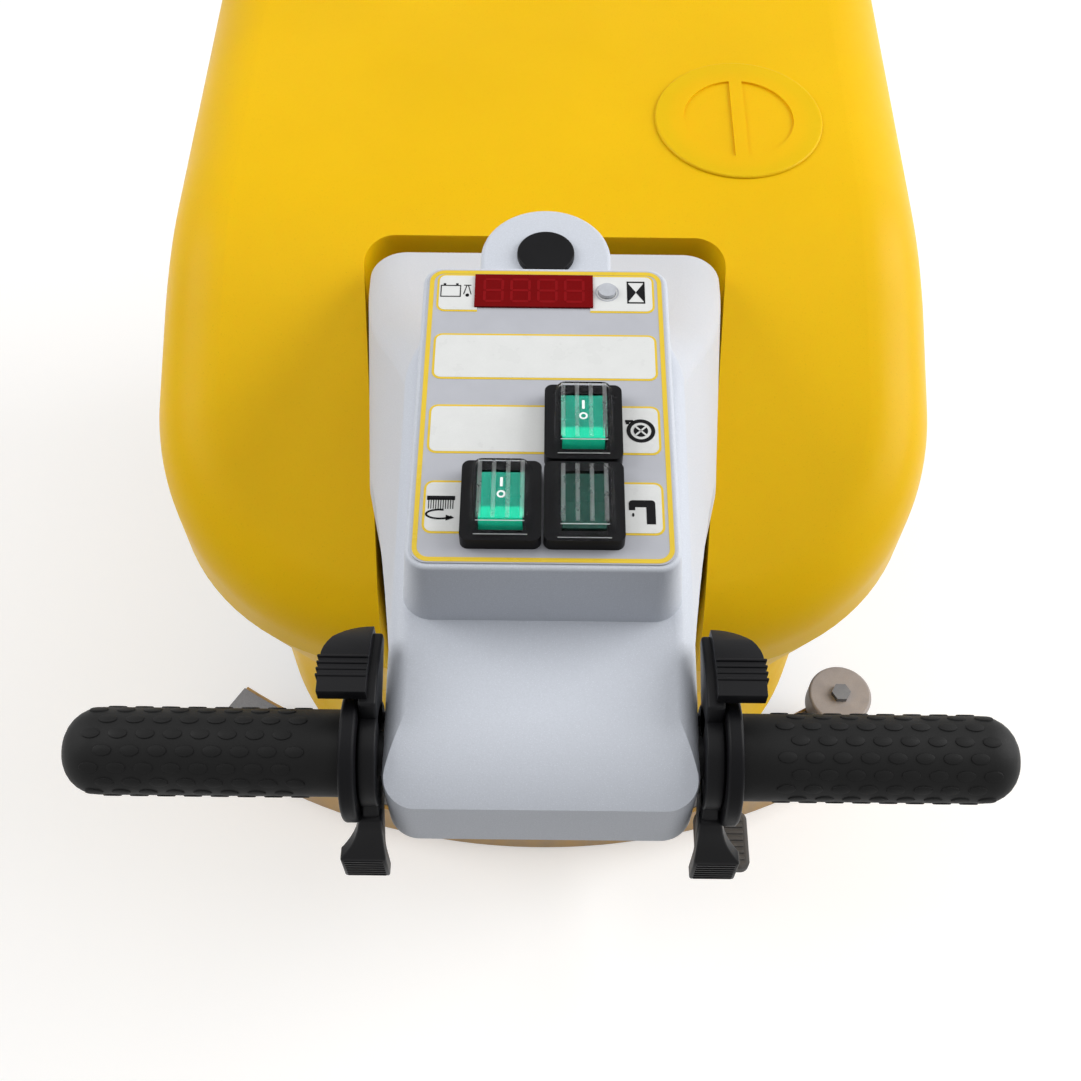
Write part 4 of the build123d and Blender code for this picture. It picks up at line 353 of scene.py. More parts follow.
def lit_rocker_finish(name, tone, end_tone, node):
    """A green lens that is brighter towards its near end, with moulded streaks."""
    near_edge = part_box(node)[0].y
    bright_to, dim_from = near_edge + 6.2 * MM, near_edge + 7.4 * MM
    finish = Finish(name)
    along = finish.add("SeparateXYZ", Vector=finish.place).outputs["Y"]
    near = finish.spread(along, 1, 0, bright_to, dim_from)
    streaks = finish.noise(3, 3, (1, 0.2, 1))
    tint = finish.blend(near, finish.cloudy(streaks, tone, 0.82, 1.12), end_tone)
    return finish.done(
        [(streaks, 0.03)], Base_Color=tint, Roughness=finish.spread(streaks, 0.16, 0.28),
        Specular_IOR_Level=0.12, Emission_Color=tint, Emission_Strength=0.12,
    )


def boot_finish(name, clearness, dullness):
    """Clear soft plastic with a faint haze and dust."""
    finish = Finish(name)
    haze = finish.noise(5, 4)
    tint = finish.blend(finish.spread(haze, 0, 1), (0.93, 0.95, 0.95), (1, 1, 1))
    gloss = finish.spread(haze, dullness, dullness + 0.06)
    return finish.done(
        [(haze, 0.03)], Base_Color=tint, Roughness=gloss, Transmission_Weight=clearness, IOR=1.06
    )


def steel_finish(tone):
    """Bright zinc plate with fine drawing marks and dull patches."""
    finish = Finish("plated_steel")
    marks, patches = finish.noise(2, 3, (0.15, 1, 1)), finish.noise(14, 4)
    tint = finish.cloudy(patches, tone, 0.82, 1.06)
    return finish.done(
        [(marks, 0.012)], Base_Color=tint, Roughness=finish.spread(patches, 0.22, 0.4), Metallic=1
    )


def rubber_finish(name, tone, scuff):
    """Dull rubber with a fine skin and paler scuffs."""
    finish = Finish(name)
    skin, scuffs = finish.noise(0.5), finish.noise(16, 6)
    tint = finish.blend(finish.spread(scuffs, 0, scuff, 0.52, 0.75), tone, shaded(tone, 2.6))
    tint = finish.blend(finish.spread(skin, 0, 0.5), tint, shaded(tone, 0.7))
    gloss = finish.spread(scuffs, 0.5, 0.68)
    return finish.done([(skin, 0.03)], Base_Color=tint, Roughness=gloss, Specular_IOR_Level=0.18)


def blade_finish(tone):
    """Amber polyurethane: a little light goes through, and cloudy streaks run down it."""
    finish = Finish("blade_amber")
    streaks = finish.noise(22, 4, (1, 1, 0.4))
    return finish.done(
        [(finish.noise(1.2), 0.02)],
        Base_Color=finish.cloudy(streaks, tone, 0.8, 1.15), Roughness=finish.spread(streaks, 0.3, 0.45),
        Subsurface_Weight=0.3, Subsurface_Radius=(0.008, 0.004, 0.001),
    )


GLOSS = "Specular_IOR_Level"
# Moulded finishes: slot, material, colour, roughness, clouds, grain and its depth in mm, shade, the rest
MOULDINGS = (
    ("display_red", "display_window", "display", 0.16, 14, 1.2, 0.004, 0.07, {GLOSS: 0.04}),
    ("solution_rocker", "rocker_dark", "rocker_dark", 0.2, 6, 0.8, 0.006, 0.08, {GLOSS: 0.12}),
    ("button_grey", "button_grey", "button", 0.35, 3, 0.4, 0.01, 0.08, {}),
    ("board_green", "board_green", "board", 0.3, 12, 0.8, 0.02, 0.2, {}),
    ("black_plastic", "plastic_black", "plastic", 0.4, 25, 0.6, 0.025, 0.2, {GLOSS: 0.1}),
    ("lever", "lever_black", "lever", 0.38, 18, 0.5, 0.03, 0.2, {GLOSS: 0.13}),
    ("wheel_grey", "hub_grey", "hub", 0.42, 40, 0.7, 0.03, 0.08, {}),
    ("roller_grey", "roller_grey", "roller", 0.45, 18, 0.8, 0.03, 0.12, {}),
    ("bristle", "bristle_blue", "bristle", 0.45, 8, 0.5, 0.15, 0.3, {"stretch": (1, 1, 0.1)}),
    ("block_plastic", "block_plastic", "block", 0.45, 40, 0.8, 0.03, 0.15, {}),
    ("frame_paint", "frame_paint", "paint", 0.4, 60, 1.3, 0.05, 0.18, {}),
    ("cast_grey", "cast_grey", "cast", 0.5, 30, 1.1, 0.09, 0.16, {"Metallic": 0.7}),
    ("deck_plastic", "deck_plastic", "deck", 0.45, 70, 0.9, 0.04, 0.15, {}),
    ("battery_case", "battery_case", "battery", 0.5, 50, 0.8, 0.05, 0.15, {}),
)
# Ink and film on the label: slot or print, material, colour, roughness, gloss, on one faint grain
PRINTS = (
    ("label_print", "label_film", "label", 0.34, 0.3),
    ("row", "row_white", "row", 0.3, 0.3),
    ("line", "line_yellow", "line", 0.3, 0.3),
    ("ink", "ink_black", "ink", 0.5, 0.1),
    ("segment", "display_segment", "segment", 0.2, 0.04),
)
PRINT_GRAIN = 9, 0.4, 0.004, 0.03
# Rubbers: slot, material, colour, scuffing
RUBBERS = (
    ("grip_rubber", "grip_rubber", "rubber", 0.5),
    ("pedal_pad", "pedal_rubber", "pedal", 0.7),
    ("wheel_tread", "tyre_rubber", "tyre", 0.9),
    ("skirt_rubber", "skirt_rubber", "skirt", 0.8),
)
# Clear plastics: name, clearness, dullness. The last, pale and half clear, is for the beads that paint
# highlight lines along the boots' near edges
CLEARS = ("boot_clear", 1, 0.02), ("boot_rib", 0.94, 0.25), ("boot_edge", 0.6, 0.3)
# Lit rockers: slot, material, node
LENSES = (
    ("rocker_green", "rocker_lit", "vacuum_rocker"),
    ("brush_rocker", "brush_rocker_lit", "brush_rocker"),
)


def make_finishes(colours):
    """Every finish by the name of the slot or the print that it is for."""
    made = {
        "yellow_shell": tank_finish(colours.tank),
        "grey_shell": shell_finish(colours.shell),
        "blade_amber": blade_finish(colours.blade),
        "plated_steel": steel_finish(colours.steel),
    }
    for slot, name, tone, *look, rest in MOULDINGS:
        made[slot] = moulded(name, getattr(colours, tone), *look, **rest)
    for slot, name, tone, roughness, gloss in PRINTS:
        tone = getattr(colours, tone)
        made[slot] = moulded(name, tone, roughness, *PRINT_GRAIN, **{GLOSS: gloss})
    for slot, name, tone, scuff in RUBBERS:
        made[slot] = rubber_finish(name, getattr(colours, tone), scuff)
    for name, clearness, dullness in CLEARS:
        made[name] = boot_finish(name, clearness, dullness)
    for slot, name, node in LENSES:
        made[slot] = lit_rocker_finish(name, colours.rocker, colours.rocker_end, node)
    return made


finish_names = {}


# Modelling helpers
def clear_selection():
    """Leave edit mode with nothing selected."""
    if bpy.context.object is not None and bpy.context.object.mode != "OBJECT":
        bpy.ops.object.mode_set(mode="OBJECT")
    bpy.ops.object.select_all(action="DESELECT")


def make_active(obj):
    """Select one object alone."""
    clear_selection()
    obj.select_set(True)
    bpy.context.view_layer.objects.active = obj


def settle(obj):
    """Put an object's place, turn and size into its mesh."""
    make_active(obj)
    bpy.ops.object.transform_apply(location=True, rotation=True, scale=True)


def start_block(name, low, high):
    """A block between two corners."""
    clear_selection()
    low, high = Vector(low), Vector(high)
    bpy.ops.mesh.primitive_cube_add(size=1, location=(low + high) / 2)
    obj = bpy.context.object
    obj.name = name
    obj.scale = high - low
    settle(obj)
    return obj


def start_rod(name, centre, radius, depth, axis="Z", sides=32, fill="NGON"):
    """A round rod along an axis."""
    clear_selection()
    turn = {"X": (0, math.pi / 2, 0), "Z": (0, 0, 0)}[axis]
    bpy.ops.mesh.primitive_cylinder_add(
        vertices=sides, radius=radius, depth=depth, location=centre, rotation=turn, end_fill_type=fill
    )
    obj = bpy.context.object
    obj.name = name
    settle(obj)
    return obj


@contextmanager
def edit_all(obj):
    """Edit mode with a whole mesh selected."""
    make_active(obj)
    bpy.ops.object.mode_set(mode="EDIT")
    bpy.ops.mesh.select_all(action="SELECT")
    yield
    bpy.ops.object.mode_set(mode="OBJECT")


@contextmanager
def edit_none(obj, kind):
    """Edit mode for edges or faces, with nothing selected."""
    with edit_all(obj):
        bpy.ops.mesh.select_mode(type=kind)
        bpy.ops.mesh.select_all(action="DESELECT")
        yield


@contextmanager
def edit_edges(obj, test):
    """Edit mode with the edges selected whose two ends pass a test."""
    with edit_none(obj, "EDGE"):
        bpy.ops.object.mode_set(mode="OBJECT")
        points = obj.data.vertices
        for edge in obj.data.edges:
            edge.select = test(*(points[index].co for index in edge.vertices))
        bpy.ops.object.mode_set(mode="EDIT")
        yield


@contextmanager
def edit_faces(obj, test):
    """Edit mode with the faces selected whose middle and normal pass a test."""
    with edit_none(obj, "FACE"):
        bpy.ops.object.mode_set(mode="OBJECT")
        for face in obj.data.polygons:
            face.select = test(face.center, face.normal)
        bpy.ops.object.mode_set(mode="EDIT")
        yield


def upright(first, second):
    """An edge along Z."""
    return abs(first.x - second.x) < HAIR and abs(first.y - second.y) < HAIR


def lying_at(axis, place):
    """A test for edges that lie square to an axis, at one place along it."""
    return lambda first, second: max(abs(first[axis] - place), abs(second[axis] - place)) < HAIR


def facing(*way):
    """A test for faces that look one way."""
    return lambda middle, normal: normal.dot(Vector(way)) > SQUARE


def tip_at(x):
    """A test for faces whose middle is at one place along X."""
    return lambda middle, normal: abs(middle.x - x) < HAIR


def round_edges(obj, test, width, segments):
    """Bevel the edges that pass a test."""
    with edit_edges(obj, test):
        bpy.ops.mesh.bevel(offset=width, segments=segments, affect="EDGES")


def round_sharp(obj, width, segments):
    """Bevel every edge at which two faces meet sharply."""
    with edit_none(obj, "EDGE"):
        bpy.ops.mesh.edges_select_sharp(sharpness=CREASE)
        bpy.ops.mesh.bevel(offset=width, segments=segments, affect="EDGES", clamp_overlap=True)


def apply_modifier(obj, kind, **settings):
    """Add a modifier with those settings and apply it."""
    make_active(obj)
    modifier = obj.modifiers.new(kind.title(), kind)
    for setting, value in settings.items():
        setattr(modifier, setting, value)
    bpy.ops.object.modifier_apply(modifier=modifier.name)


def repeat(obj, copies, step):
    """Copies of a mesh in a line."""
    apply_modifier(
        obj, "ARRAY", count=copies, use_relative_offset=False, use_constant_offset=True,
        constant_offset_displace=step,
    )


def repeat_round(obj, centre, axis, copies):
    """Copies of a mesh in a full circle."""
    with edit_all(obj):
        bpy.ops.mesh.spin(
            steps=copies - 1, dupli=True, angle=2 * math.pi * (copies - 1) / copies,
            center=centre, axis=axis,
        )


def turn_mesh(obj, turn, axis, centre):
    """Turn a whole mesh about an axis through a point."""
    with edit_all(obj):
        bpy.ops.transform.rotate(value=turn, orient_axis=axis, center_override=centre)


def join(name, pieces):
    """Make several objects one."""
    clear_selection()
    for obj in pieces:
        obj.select_set(True)
    bpy.context.view_layer.objects.active = pieces[0]
    if len(pieces) > 1:
        bpy.ops.object.join()
    pieces[0].name = name
    return pieces[0]


def mend_normals(obj):
    """Merge doubled points and turn every face outwards."""
    with edit_all(obj):
        bpy.ops.mesh.remove_doubles(threshold=0.001 * MM)
        bpy.ops.mesh.normals_make_consistent(inside=False)


def open_ring(obj, width, axis=Z):
    """Open a plate or a rod along an axis, so that a ring of that width is left."""
    with edit_faces(obj, lambda middle, normal: abs(normal[axis]) > SQUARE):
        bpy.ops.mesh.inset(thickness=width, use_boundary=True)
        bpy.ops.mesh.bridge_edge_loops()
    mend_normals(obj)


def finish_piece(obj, body, slot, finish, *replaced):
    """Settle a piece, shade it, give it its finish and set it on its body."""
    settle(obj)
    bpy.ops.object.shade_smooth_by_angle(angle=CREASE)
    obj.data.name = obj.name
    obj.data.materials.clear()
    obj.data.materials.append(bpy.data.materials[finish_names[finish]])
    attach(obj, body)
    if replaced:
        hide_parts(*replaced)


def meet(node, start, direction):
    """Where a line from a point meets a CAD node, and the normal there."""
    hit, point, normal, _ = NODES[node].ray_cast(Vector(start), Vector(direction))
    if not hit:
        raise RuntimeError(f"no line from {start} meets {node}")
    return point, normal


def top_of(node, x, y):
    """Where a line straight down meets a CAD node, and the normal there."""
    return meet(node, (x, y, cad_box[1][Z] + 10 * MM), (0, 0, -1))


# Operators
class SCRUBBER_OT_finishes(bpy.types.Operator):
    """Give every solid of the frame its finish"""

    bl_idname = "scrubber.finishes"
    bl_label = "Finishes"

    def execute(self, context):
        made = make_finishes(context.scene.scrubber_colours)
        finish_names.update({name: material.name for name, material in made.items()})
        own = {"left_lever": "lever", "right_lever": "lever", "handlebar_tube": "lever"}
        own.update({name: name for name in ("pedal_pad", "brush_rocker", "solution_rocker")})
        for name, obj in NODES.items():
            slot = obj.data.materials[0].name.split(".")[0]
            obj.data.materials[0] = made[own.get(name, slot)]
        return {"FINISHED"}


class SCRUBBER_OT_grips(bpy.types.Operator):
    """Make the two rubber grips with their staggered pads"""

    bl_idname = "scrubber.grips"
    bl_label = "Grips"

    inner_round = 1.2 * MM
    pad_root = 0.8 * MM
    pad_round = 0.45 * MM

    def execute(self, context):
        for side in ("left", "right"):
            self.make_grip(context.scene.scrubber_sizes, side)
        return {"FINISHED"}

    def make_grip(self, sizes, side):
        low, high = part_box(f"{side}_grip")
        centre = (low + high) / 2
        outer, inner, inward = (high.x, low.x, -1) if side == "right" else (low.x, high.x, 1)
        sleeve_radius = (high.z - low.z) / 2 - sizes.grip_pad_rise
        sleeve = start_rod(f"{side}_grip_sleeve", centre, sleeve_radius, high.x - low.x, "X", 64)
        for end, width in ((outer, sizes.grip_end_round), (inner, self.inner_round)):
            round_edges(sleeve, lying_at(X, end), width, 8)
        rows = []
        for stagger in (0, 1):
            start = outer + inward * (sizes.grip_pad_start + stagger * sizes.grip_pad_pitch / 2)
            rows.append(self.make_row(sizes, Vector((start, centre.y, centre.z)), inward, sleeve_radius))
            turn_mesh(rows[-1], stagger * math.pi / sizes.grip_rows, "X", centre)
        pads = join(f"{side}_grip_pads", rows)
        repeat_round(pads, centre, (1, 0, 0), sizes.grip_rows)
        grip = join(f"{side}_grip_sleeve", [sleeve, pads])
        finish_piece(grip, "root", "grip_rubber", "grip_rubber", f"{side}_grip")

    def make_row(self, sizes, start, inward, sleeve_radius):
        """One row of pads on top of the sleeve."""
        rise, root = sizes.grip_pad_rise, self.pad_root
        pad = start_rod("pad", (0, 0, 0), 0.5, rise + root, "Z", 14)
        pad.scale = (sizes.grip_pad_length, sizes.grip_pad_width, 1)
        pad.location = start + Vector((0, 0, sleeve_radius + (rise - root) / 2))
        settle(pad)
        round_edges(pad, lying_at(Z, start.z + sleeve_radius + rise), self.pad_round, 2)
        repeat(pad, sizes.grip_pads, (inward * sizes.grip_pad_pitch, 0, 0))
        return pad


class SCRUBBER_OT_panel(bpy.types.Operator):
    """Print the panel: its border, white rows and picture marks"""

    bl_idname = "scrubber.panel"
    bl_label = "Panel print"

    row_lap = 1.2 * MM
    button_gap = 0.2 * MM
    drill = 4 * MM
    blunt = 0.05

    def execute(self, context):
        sizes = context.scene.scrubber_sizes
        self.rise = sizes.print_rise
        self.make_border(sizes)
        self.make_rows(sizes)
        self.make_marks()
        return {"FINISHED"}

    def plate(self, name, low, high, base=0):
        """A thin plate of print between two corners of the label, over that many other plates."""
        level = label_top + base * self.rise
        return start_block(name, (*low, level), (*high, level + self.rise))

    def make_border(self, sizes):
        """A line round the label, from a plate that is opened."""
        inset = Vector((sizes.border_inset,) * 2)
        line = self.plate("panel_border", label_low.xy + inset, label_high.xy - inset)
        round_edges(line, upright, sizes.border_round, 8)
        open_ring(line, sizes.border_width)
        finish_piece(line, "root", "label_print", "line")

    def make_rows(self, sizes):
        """White rows, each on a slightly larger yellow plate that shows as its frame."""
        half, lap = sizes.row_width / 2, self.row_lap
        frames_low, frames_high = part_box("switch_frames")
        middle = (boots_low.x + boots_high.x) / 2
        # Near and far edge in mm beyond the grips, and the stretches across
        rows = (
            (170.5, 188.6, ((-half, display_low.x + lap), (display_high.x - lap, half))),
            (136.3, 157.3, ((-half, half),)),
            (101.2, 122.1, ((-half, middle + lap), (frames_high.x - lap, half))),
            (66.0, 87.1, ((-half, frames_low.x + lap), (frames_high.x - lap, half))),
        )
        whites, yellows = [], []
        for near, far, stretches in rows:
            for left, right in stretches:
                for pieces, grow, base in ((whites, 0, 1), (yellows, sizes.row_line, 0)):
                    low = (left - grow * (left == -half), grip_axis.y + near * MM - grow)
                    high = (right + grow * (right == half), grip_axis.y + far * MM + grow)
                    plate = self.plate("row", low, high, base)
                    outer = [end for end in (low[0], high[0]) if abs(end) >= half - HAIR]
                    round_edges(
                        plate,
                        lambda first, second: upright(first, second)
                        and any(abs(first.x - end) < HAIR for end in outer),
                        sizes.row_round + grow, 5,
                    )
                    pieces.append(plate)
        button = (button_low + button_high) / 2
        radius = (button_high.x - button_low.x) / 2 + self.button_gap
        plates = ("panel_rows", whites, "row"), ("panel_row_frames", yellows, "line")
        for name, pieces, finish in plates:
            row = join(name, pieces)
            hole = start_rod("hole", (button.x, button.y, label_top), radius, self.drill, "Z", 40)
            apply_modifier(row, "BOOLEAN", object=hole, operation="DIFFERENCE", solver="EXACT")
            bpy.data.objects.remove(hole)
            finish_piece(row, "root", "label_print", finish)

    def bar(self, x, y, width, height, turn=0.0, base=2, soft=0.0):
        """A bar of ink, in mm from the middle of the grips, with its far corners softened."""
        centre = Vector((x * MM, grip_axis.y + y * MM, label_top))
        half = Vector((width, height)) * MM / 2
        ink = self.plate("ink", centre.xy - half, centre.xy + half, base)
        if soft:
            round_edges(
                ink, lambda first, second: upright(first, second) and first.y > centre.y, soft * MM, 4
            )
        if turn:
            turn_mesh(ink, turn, "Z", centre)
        return ink

    def disc(self, x, y, across, along, line=0.0, sides=36):
        """An oval of ink, or a ring of it where a line width is given."""
        ink = start_rod("ink", (0, 0, 0), 0.5, self.rise, "Z", sides)
        ink.scale = (across * MM, along * MM, 1)
        ink.location = (x * MM, grip_axis.y + y * MM, label_top + 2.5 * self.rise)
        settle(ink)
        if line:
            open_ring(ink, line * MM)
        return ink

    def wedge(self, x, y, width, height, side):
        """A wedge of ink that points sideways."""
        ink = self.bar(x + side * width / 2, y, width, height)
        with edit_faces(ink, tip_at((x + side * width) * MM)):
            bpy.ops.transform.resize(value=(1, self.blunt, 1))
        return ink

    def make_marks(self):
        """Battery, lamp, hourglass, fan, brush and tap."""
        bars = (
            (-38.1, 183.2, 8.2, 0.45), (-38.1, 177.4, 8.2, 0.45), (-42.0, 180.3, 0.4, 6.2),
            (-34.2, 180.3, 0.4, 6.2), (-40.6, 183.9, 1.0, 0.9), (-35.6, 183.9, 1.0, 0.9),
            (-31.4, 183.4, 2.9, 0.4), (-32.3, 181.0, 0.35, 5.0, 0.24), (-30.5, 181.0, 0.35, 5.0, -0.24),
            (36.3, 185.9, 7.2, 0.7), (36.3, 174.9, 7.2, 0.7),
            (33.0, 180.4, 0.6, 11.6), (39.6, 180.4, 0.6, 11.6),
            (31.9, 115.8, 3.0, 1.1), (31.3, 114.9, 1.3, 1.1),
            (-37.2, 80.2, 10.2, 1.8),
            (35.6, 78.55, 9.6, 3.0, 0, 2, 1.4), (38.75, 73.4, 3.3, 7.3), (31.95, 76.4, 2.3, 1.3),
        )
        wedges = (33.2, 180.4, 3.0, 9.6, 1), (39.4, 180.4, 3.0, 9.6, -1)
        fan = 36.2, 111.3
        discs = (
            (-31.4, 178.1, 1.5, 1.7), (*fan, 10.8, 10.8, 1.5), (*fan, 5.4, 5.4), (32.3, 73.7, 0.9, 1.6)
        )
        marks = [self.bar(*bar) for bar in bars]
        marks += [self.wedge(*wedge) for wedge in wedges]
        marks += [self.disc(*disc) for disc in discs]
        bristles = self.bar(-41.6, 77.8, 0.35, 4.6)
        repeat(bristles, 11, (0.88 * MM, 0, 0))
        marks += [bristles, *self.turning_arrow(-37.4, 73.2)]
        finish_piece(join("panel_marks", marks), "root", "label_print", "ink")
        blades = [self.bar(*fan, 5.5, 0.7, turn, 3) for turn in (math.pi / 4, 3 * math.pi / 4)]
        finish_piece(join("fan_blades", blades), "root", "label_print", "row")
        ring = self.disc(24.7, 180.3, 9.6, 9.6, 0.5, 48)
        finish_piece(join("button_ring", [ring]), "root", "label_print", "label_print")

    def turning_arrow(self, x, y):
        """Most of an oval line with an arrow head at its right end."""
        line = self.disc(x, y, 10.6, 4.6, 0.75, 48)
        left, near = (x + 1.5) * MM, grip_axis.y + (y - 0.9) * MM
        with edit_faces(line, lambda middle, normal: middle.x > left and middle.y > near):
            bpy.ops.mesh.delete(type="FACE")
        return line, self.wedge(x + 2.2, y - 1.5, 3.0, 2.5, 1)


class SCRUBBER_OT_display(bpy.types.Operator):
    """Set the display's unlit digits behind its red window"""

    bl_idname = "scrubber.display"
    bl_label = "Display digits"

    bar_gap = 0.2 * MM
    bar_depth = 0.1 * MM
    bar_rise = 0.06 * MM
    point_share = 0.45

    def execute(self, context):
        sizes = context.scene.scrubber_sizes
        middle = (display_low + display_high) / 2
        start = middle - Vector((1.5 * sizes.digit_pitch, 0, 0))
        across, up = sizes.digit_width, sizes.digit_height
        bars = []
        for level in (-1, 0, 1):
            bars.append(self.make_bar(sizes, start + Vector((0, level * up / 2, 0)), across, 0))
        for side in (-1, 1):
            for level in (-1, 1):
                place = start + Vector((side * across / 2, level * up / 4, 0))
                bars.append(self.make_bar(sizes, place, up / 2, math.pi / 2))
        digits = join("display_digits", bars)
        repeat(digits, 4, (sizes.digit_pitch, 0, 0))
        finish_piece(digits, "root", "display_red", "segment")
        return {"FINISHED"}

    def make_bar(self, sizes, place, reach, turn):
        """One bar of a digit, with pointed ends."""
        half = Vector((reach / 2 - self.bar_gap, sizes.digit_bar / 2, 0))
        centre = Vector((place.x, place.y, display_high.z))
        low = centre - half - Vector((0, 0, self.bar_depth))
        bar = start_block("segment", low, centre + half + Vector((0, 0, self.bar_rise)))
        round_edges(bar, upright, self.point_share * sizes.digit_bar, 1)
        if turn:
            turn_mesh(bar, turn, "Z", centre)
        return bar


class SCRUBBER_OT_boots(bpy.types.Operator):
    """Make the clear ribbed boots over the switches, and the marks on the rockers under them"""

    bl_idname = "scrubber.boots"
    bl_label = "Switch boots"

    corner = 4 * MM
    roof_share = 0.84, 0.88
    roof_round = 1 * MM
    rib_root = 0.2 * MM
    rib_reach = 0.40
    rib_round = 0.4 * MM
    bar_place = 7.0 * MM
    bar_half = 0.5 * MM, 2.0 * MM
    bar_round = 0.2 * MM
    ring_place = 1.75 * MM
    ring_radius = 1.6 * MM
    ring_line = 0.7 * MM
    mark_lift = 0.06 * MM

    def execute(self, context):
        sizes = context.scene.scrubber_sizes
        self.roof = boots_high.z - sizes.boot_rib_rise
        boots, ribs, highlight_beads = [], [], []
        for node in ("vacuum_rocker", "brush_rocker", "solution_rocker"):
            low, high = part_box(node)
            spot = (low.xy + high.xy) / 2
            boots.append(self.make_boot(sizes, spot))
            ribs.append(self.make_ribs(sizes, *spot))
            highlight_beads += self.make_highlight_beads(sizes, *spot)
        boot = join("switch_boot_covers", boots)
        finish_piece(boot, "root", "boot_clear", "boot_clear", "switch_boots")
        finish_piece(join("switch_boot_ribs", ribs), "root", "boot_clear", "boot_rib")
        # Pale beads that paint highlight lines along the boots' near edges
        finish_piece(join("switch_boot_beads", highlight_beads), "root", "boot_clear", "boot_edge")
        for node, body in (("vacuum_rocker", "vacuum_switch"), ("brush_rocker", "brush_switch")):
            self.make_marks(node, body)
        return {"FINISHED"}

    def make_boot(self, sizes, spot):
        """A tapered shell, open below."""
        half = Vector((sizes.boot_width / 2, sizes.boot_length / 2))
        shell = start_block("boot", (*(spot - half), boots_low.z), (*(spot + half), self.roof))
        round_edges(shell, upright, self.corner, 5)
        with edit_faces(shell, facing(0, 0, 1)):
            bpy.ops.transform.resize(value=(*self.roof_share, 1))
        round_edges(shell, lying_at(Z, self.roof), self.roof_round, 4)
        with edit_faces(shell, facing(0, 0, -1)):
            bpy.ops.mesh.delete(type="FACE")
        apply_modifier(shell, "SOLIDIFY", thickness=sizes.boot_wall, offset=-1)
        return shell

    def make_ribs(self, sizes, x, y):
        """Four dull ribs along a boot's roof."""
        first = x - 1.5 * sizes.boot_rib_pitch
        reach = self.rib_reach * sizes.boot_length
        top = self.roof + sizes.boot_rib_rise
        rib = start_block(
            "rib",
            (first - sizes.boot_rib / 2, y - reach, self.roof - self.rib_root),
            (first + sizes.boot_rib / 2, y + reach, top),
        )
        round_edges(rib, lying_at(Z, top), self.rib_round, 2)
        repeat(rib, 4, (sizes.boot_rib_pitch, 0, 0))
        return rib

    def make_highlight_beads(self, sizes, x, y):
        """Thin pale beads along the near edges of a boot's roof and foot, which paint the highlight
        lines on those edges.
        """
        width = sizes.boot_edge
        highlight_beads = []
        places = (self.roof_share[1], 0.36, self.roof), (1, 0.40, boots_low.z + width)
        for share, reach, height in places:
            edge = y - share * sizes.boot_length / 2
            across = reach * sizes.boot_width
            low = x - across, edge - width / 2, height - width
            bead = start_block("bead", low, (x + across, edge + width / 2, height))
            round_sharp(bead, 0.3 * width, 2)
            highlight_beads.append(bead)
        return highlight_beads

    def make_marks(self, node, body):
        """A bar on the far half of a rocker and a ring nearer its middle."""
        low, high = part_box(node)
        x, y = (low.xy + high.xy) / 2
        half = Vector((*self.bar_half, self.mark_lift))
        bar = start_block("bar", -half, half)
        round_edges(bar, upright, self.bar_round, 2)
        ring = start_rod("ring", (0, 0, 0), self.ring_radius, 2 * self.mark_lift)
        open_ring(ring, self.ring_line)
        for mark, along in ((bar, self.bar_place), (ring, self.ring_place)):
            mark.location, normal = top_of(node, x, y + along)
            mark.rotation_euler = Vector((0, 0, 1)).rotation_difference(normal).to_euler()
            settle(mark)
        finish_piece(join(f"{node}_marks", [bar, ring]), body, "rocker_green", "row")


